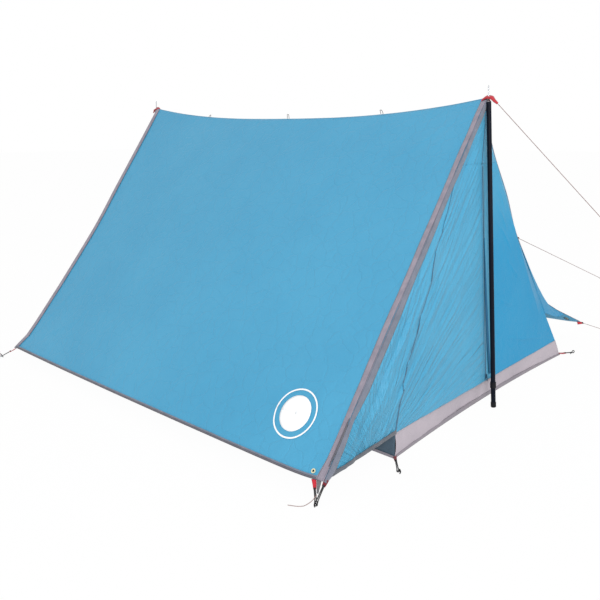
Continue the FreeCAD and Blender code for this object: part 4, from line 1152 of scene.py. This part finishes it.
def corner_pieces():
    """The far corner's tab, the side guy's tab, the pole tie and the near corner's patch."""
    steps = np.linspace(0, 1, 8)
    for name, node_name, (start, end), across, widths, thickness, slot, look in STRAPS:
        start, end = np.array(start), np.array(end)
        centre = start + (end - start) * steps[:, None]
        ribbon(name, centre, across, np.interp(steps, (0, 1), widths), thickness, slot, look, crown=0.0006,
               stands_for=node_name if node_name in frame["nodes"] else None)
    tube("far_corner_knot", [(1.119, -1.158, 0.092), (1.122, -1.154, 0.093), (1.125, -1.158, 0.090),
                             (1.122, -1.162, 0.088)], 0.003, "black_elastic", closed=True)


# --- badge
def badge():
    """Plain printed roundel low on the near panel: a ring and a disc, with no lettering."""
    centre_a, centre_d = 0.108, 0.893
    for name, inner, outer in (("badge_ring", 0.086, 0.092), ("badge_disc", 0.0, 0.066)):
        turn, radius = np.meshgrid(np.linspace(0, 2 * math.pi, 97), np.linspace(max(inner, 0.0005), outer, 8))
        a = centre_a + radius * np.cos(turn) / 2.08
        d = centre_d + radius * np.sin(turn) / 1.59
        grid = fly_point(-1, a, d) + outward(-1) * (panel_relief(-1, a, d) + 0.0020)[..., None]
        uv = join(radius * np.cos(turn), radius * np.sin(turn))
        disc = dress(sheet_mesh(name, grid, uv, 0.0003), "blue_taffeta", "print_white")
        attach(disc, "tent")


def eyelet_painted_shade():
    """Dark disc of painted shade behind the punched hole in each panel, for the shadow seen through it."""
    for side in (-1, 1):
        turn, radius = np.meshgrid(np.linspace(0, 2 * math.pi, 25), np.linspace(0.0003, 0.009, 5))
        a = EYELET_AT[0] + radius * np.cos(turn) / PANEL_SIZE[0]
        d = EYELET_AT[1] + radius * np.sin(turn) / PANEL_SIZE[1]
        grid = fly_point(side, a, np.minimum(d, 0.9995)) - outward(side) * 0.0065
        disc = dress(sheet_mesh(f"eyelet_painted_shade_{'near' if side < 0 else 'far'}", grid, thickness=0.0006),
                     "dark_webbing")
        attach(disc, "tent")


# --- carried-over nodes, stage and light
def finish_nodes():
    slots = {entry["node"]: entry["material_slot"] for entry in frame["record"]["subparts"]}
    for name, obj in frame["nodes"].items():
        if not obj.hide_render:
            material = MATERIALS[slots[name]]
            obj.data.materials.clear()
            obj.data.materials.append(material)


def stage():
    mesh = bpy.data.meshes.new("floor")
    side = 30
    mesh.from_pydata([(-side, -side, 0), (side, -side, 0), (side, side, 0), (-side, side, 0)], [],
                     [(0, 1, 2, 3)])
    floor = placed("floor", mesh)
    mat, _, shader = new_material("floor")
    shader.inputs["Base Color"].default_value = (0.02, 0.02, 0.02, 1)
    shader.inputs["Specular IOR Level"].default_value = 0.0
    shader.inputs["Emission Color"].default_value = (1, 1, 1, 1)
    shader.inputs["Emission Strength"].default_value = 0.97
    mesh.materials.append(mat)
    world = bpy.data.worlds.new("studio")
    world.use_nodes = True
    world.node_tree.nodes["Background"].inputs[0].default_value = (1, 1, 1, 1)
    world.node_tree.nodes["Background"].inputs[1].default_value = 1.0
    bpy.context.scene.world = world
    bpy.context.scene.view_settings.view_transform = "Standard"
    for name, place, size, power in (("key", (-5.2, -5.3, 4.0), 2.2, 400),
                                     ("fill", (1.0, -6.0, 1.6), 3.0, 40)):
        data = bpy.data.lights.new(name, "AREA")
        data.shape, data.size, data.energy = "DISK", size, power
        lamp = placed(name, data)
        aim = Vector((0, -0.3, 0.5)) - Vector(place)
        lamp.matrix_world = Matrix.Translation(place) @ aim.to_track_quat("-Z", "Y").to_matrix().to_4x4()


camera()
guy_lines()
fly_panel(-1, "fly_near_panel")
fly_panel(1, "fly_far_panel")
fly_bands()
bottom_hems()
front_wall()
near_flap()
far_flap()
zip_line()
rear_cloth()
tub()
mesh_strips()
tethers()
apex_straps()
small_loops()
corner_pieces()
badge()
eyelet_painted_shade()
finish_nodes()
stage()
bpy.context.view_layer.update()
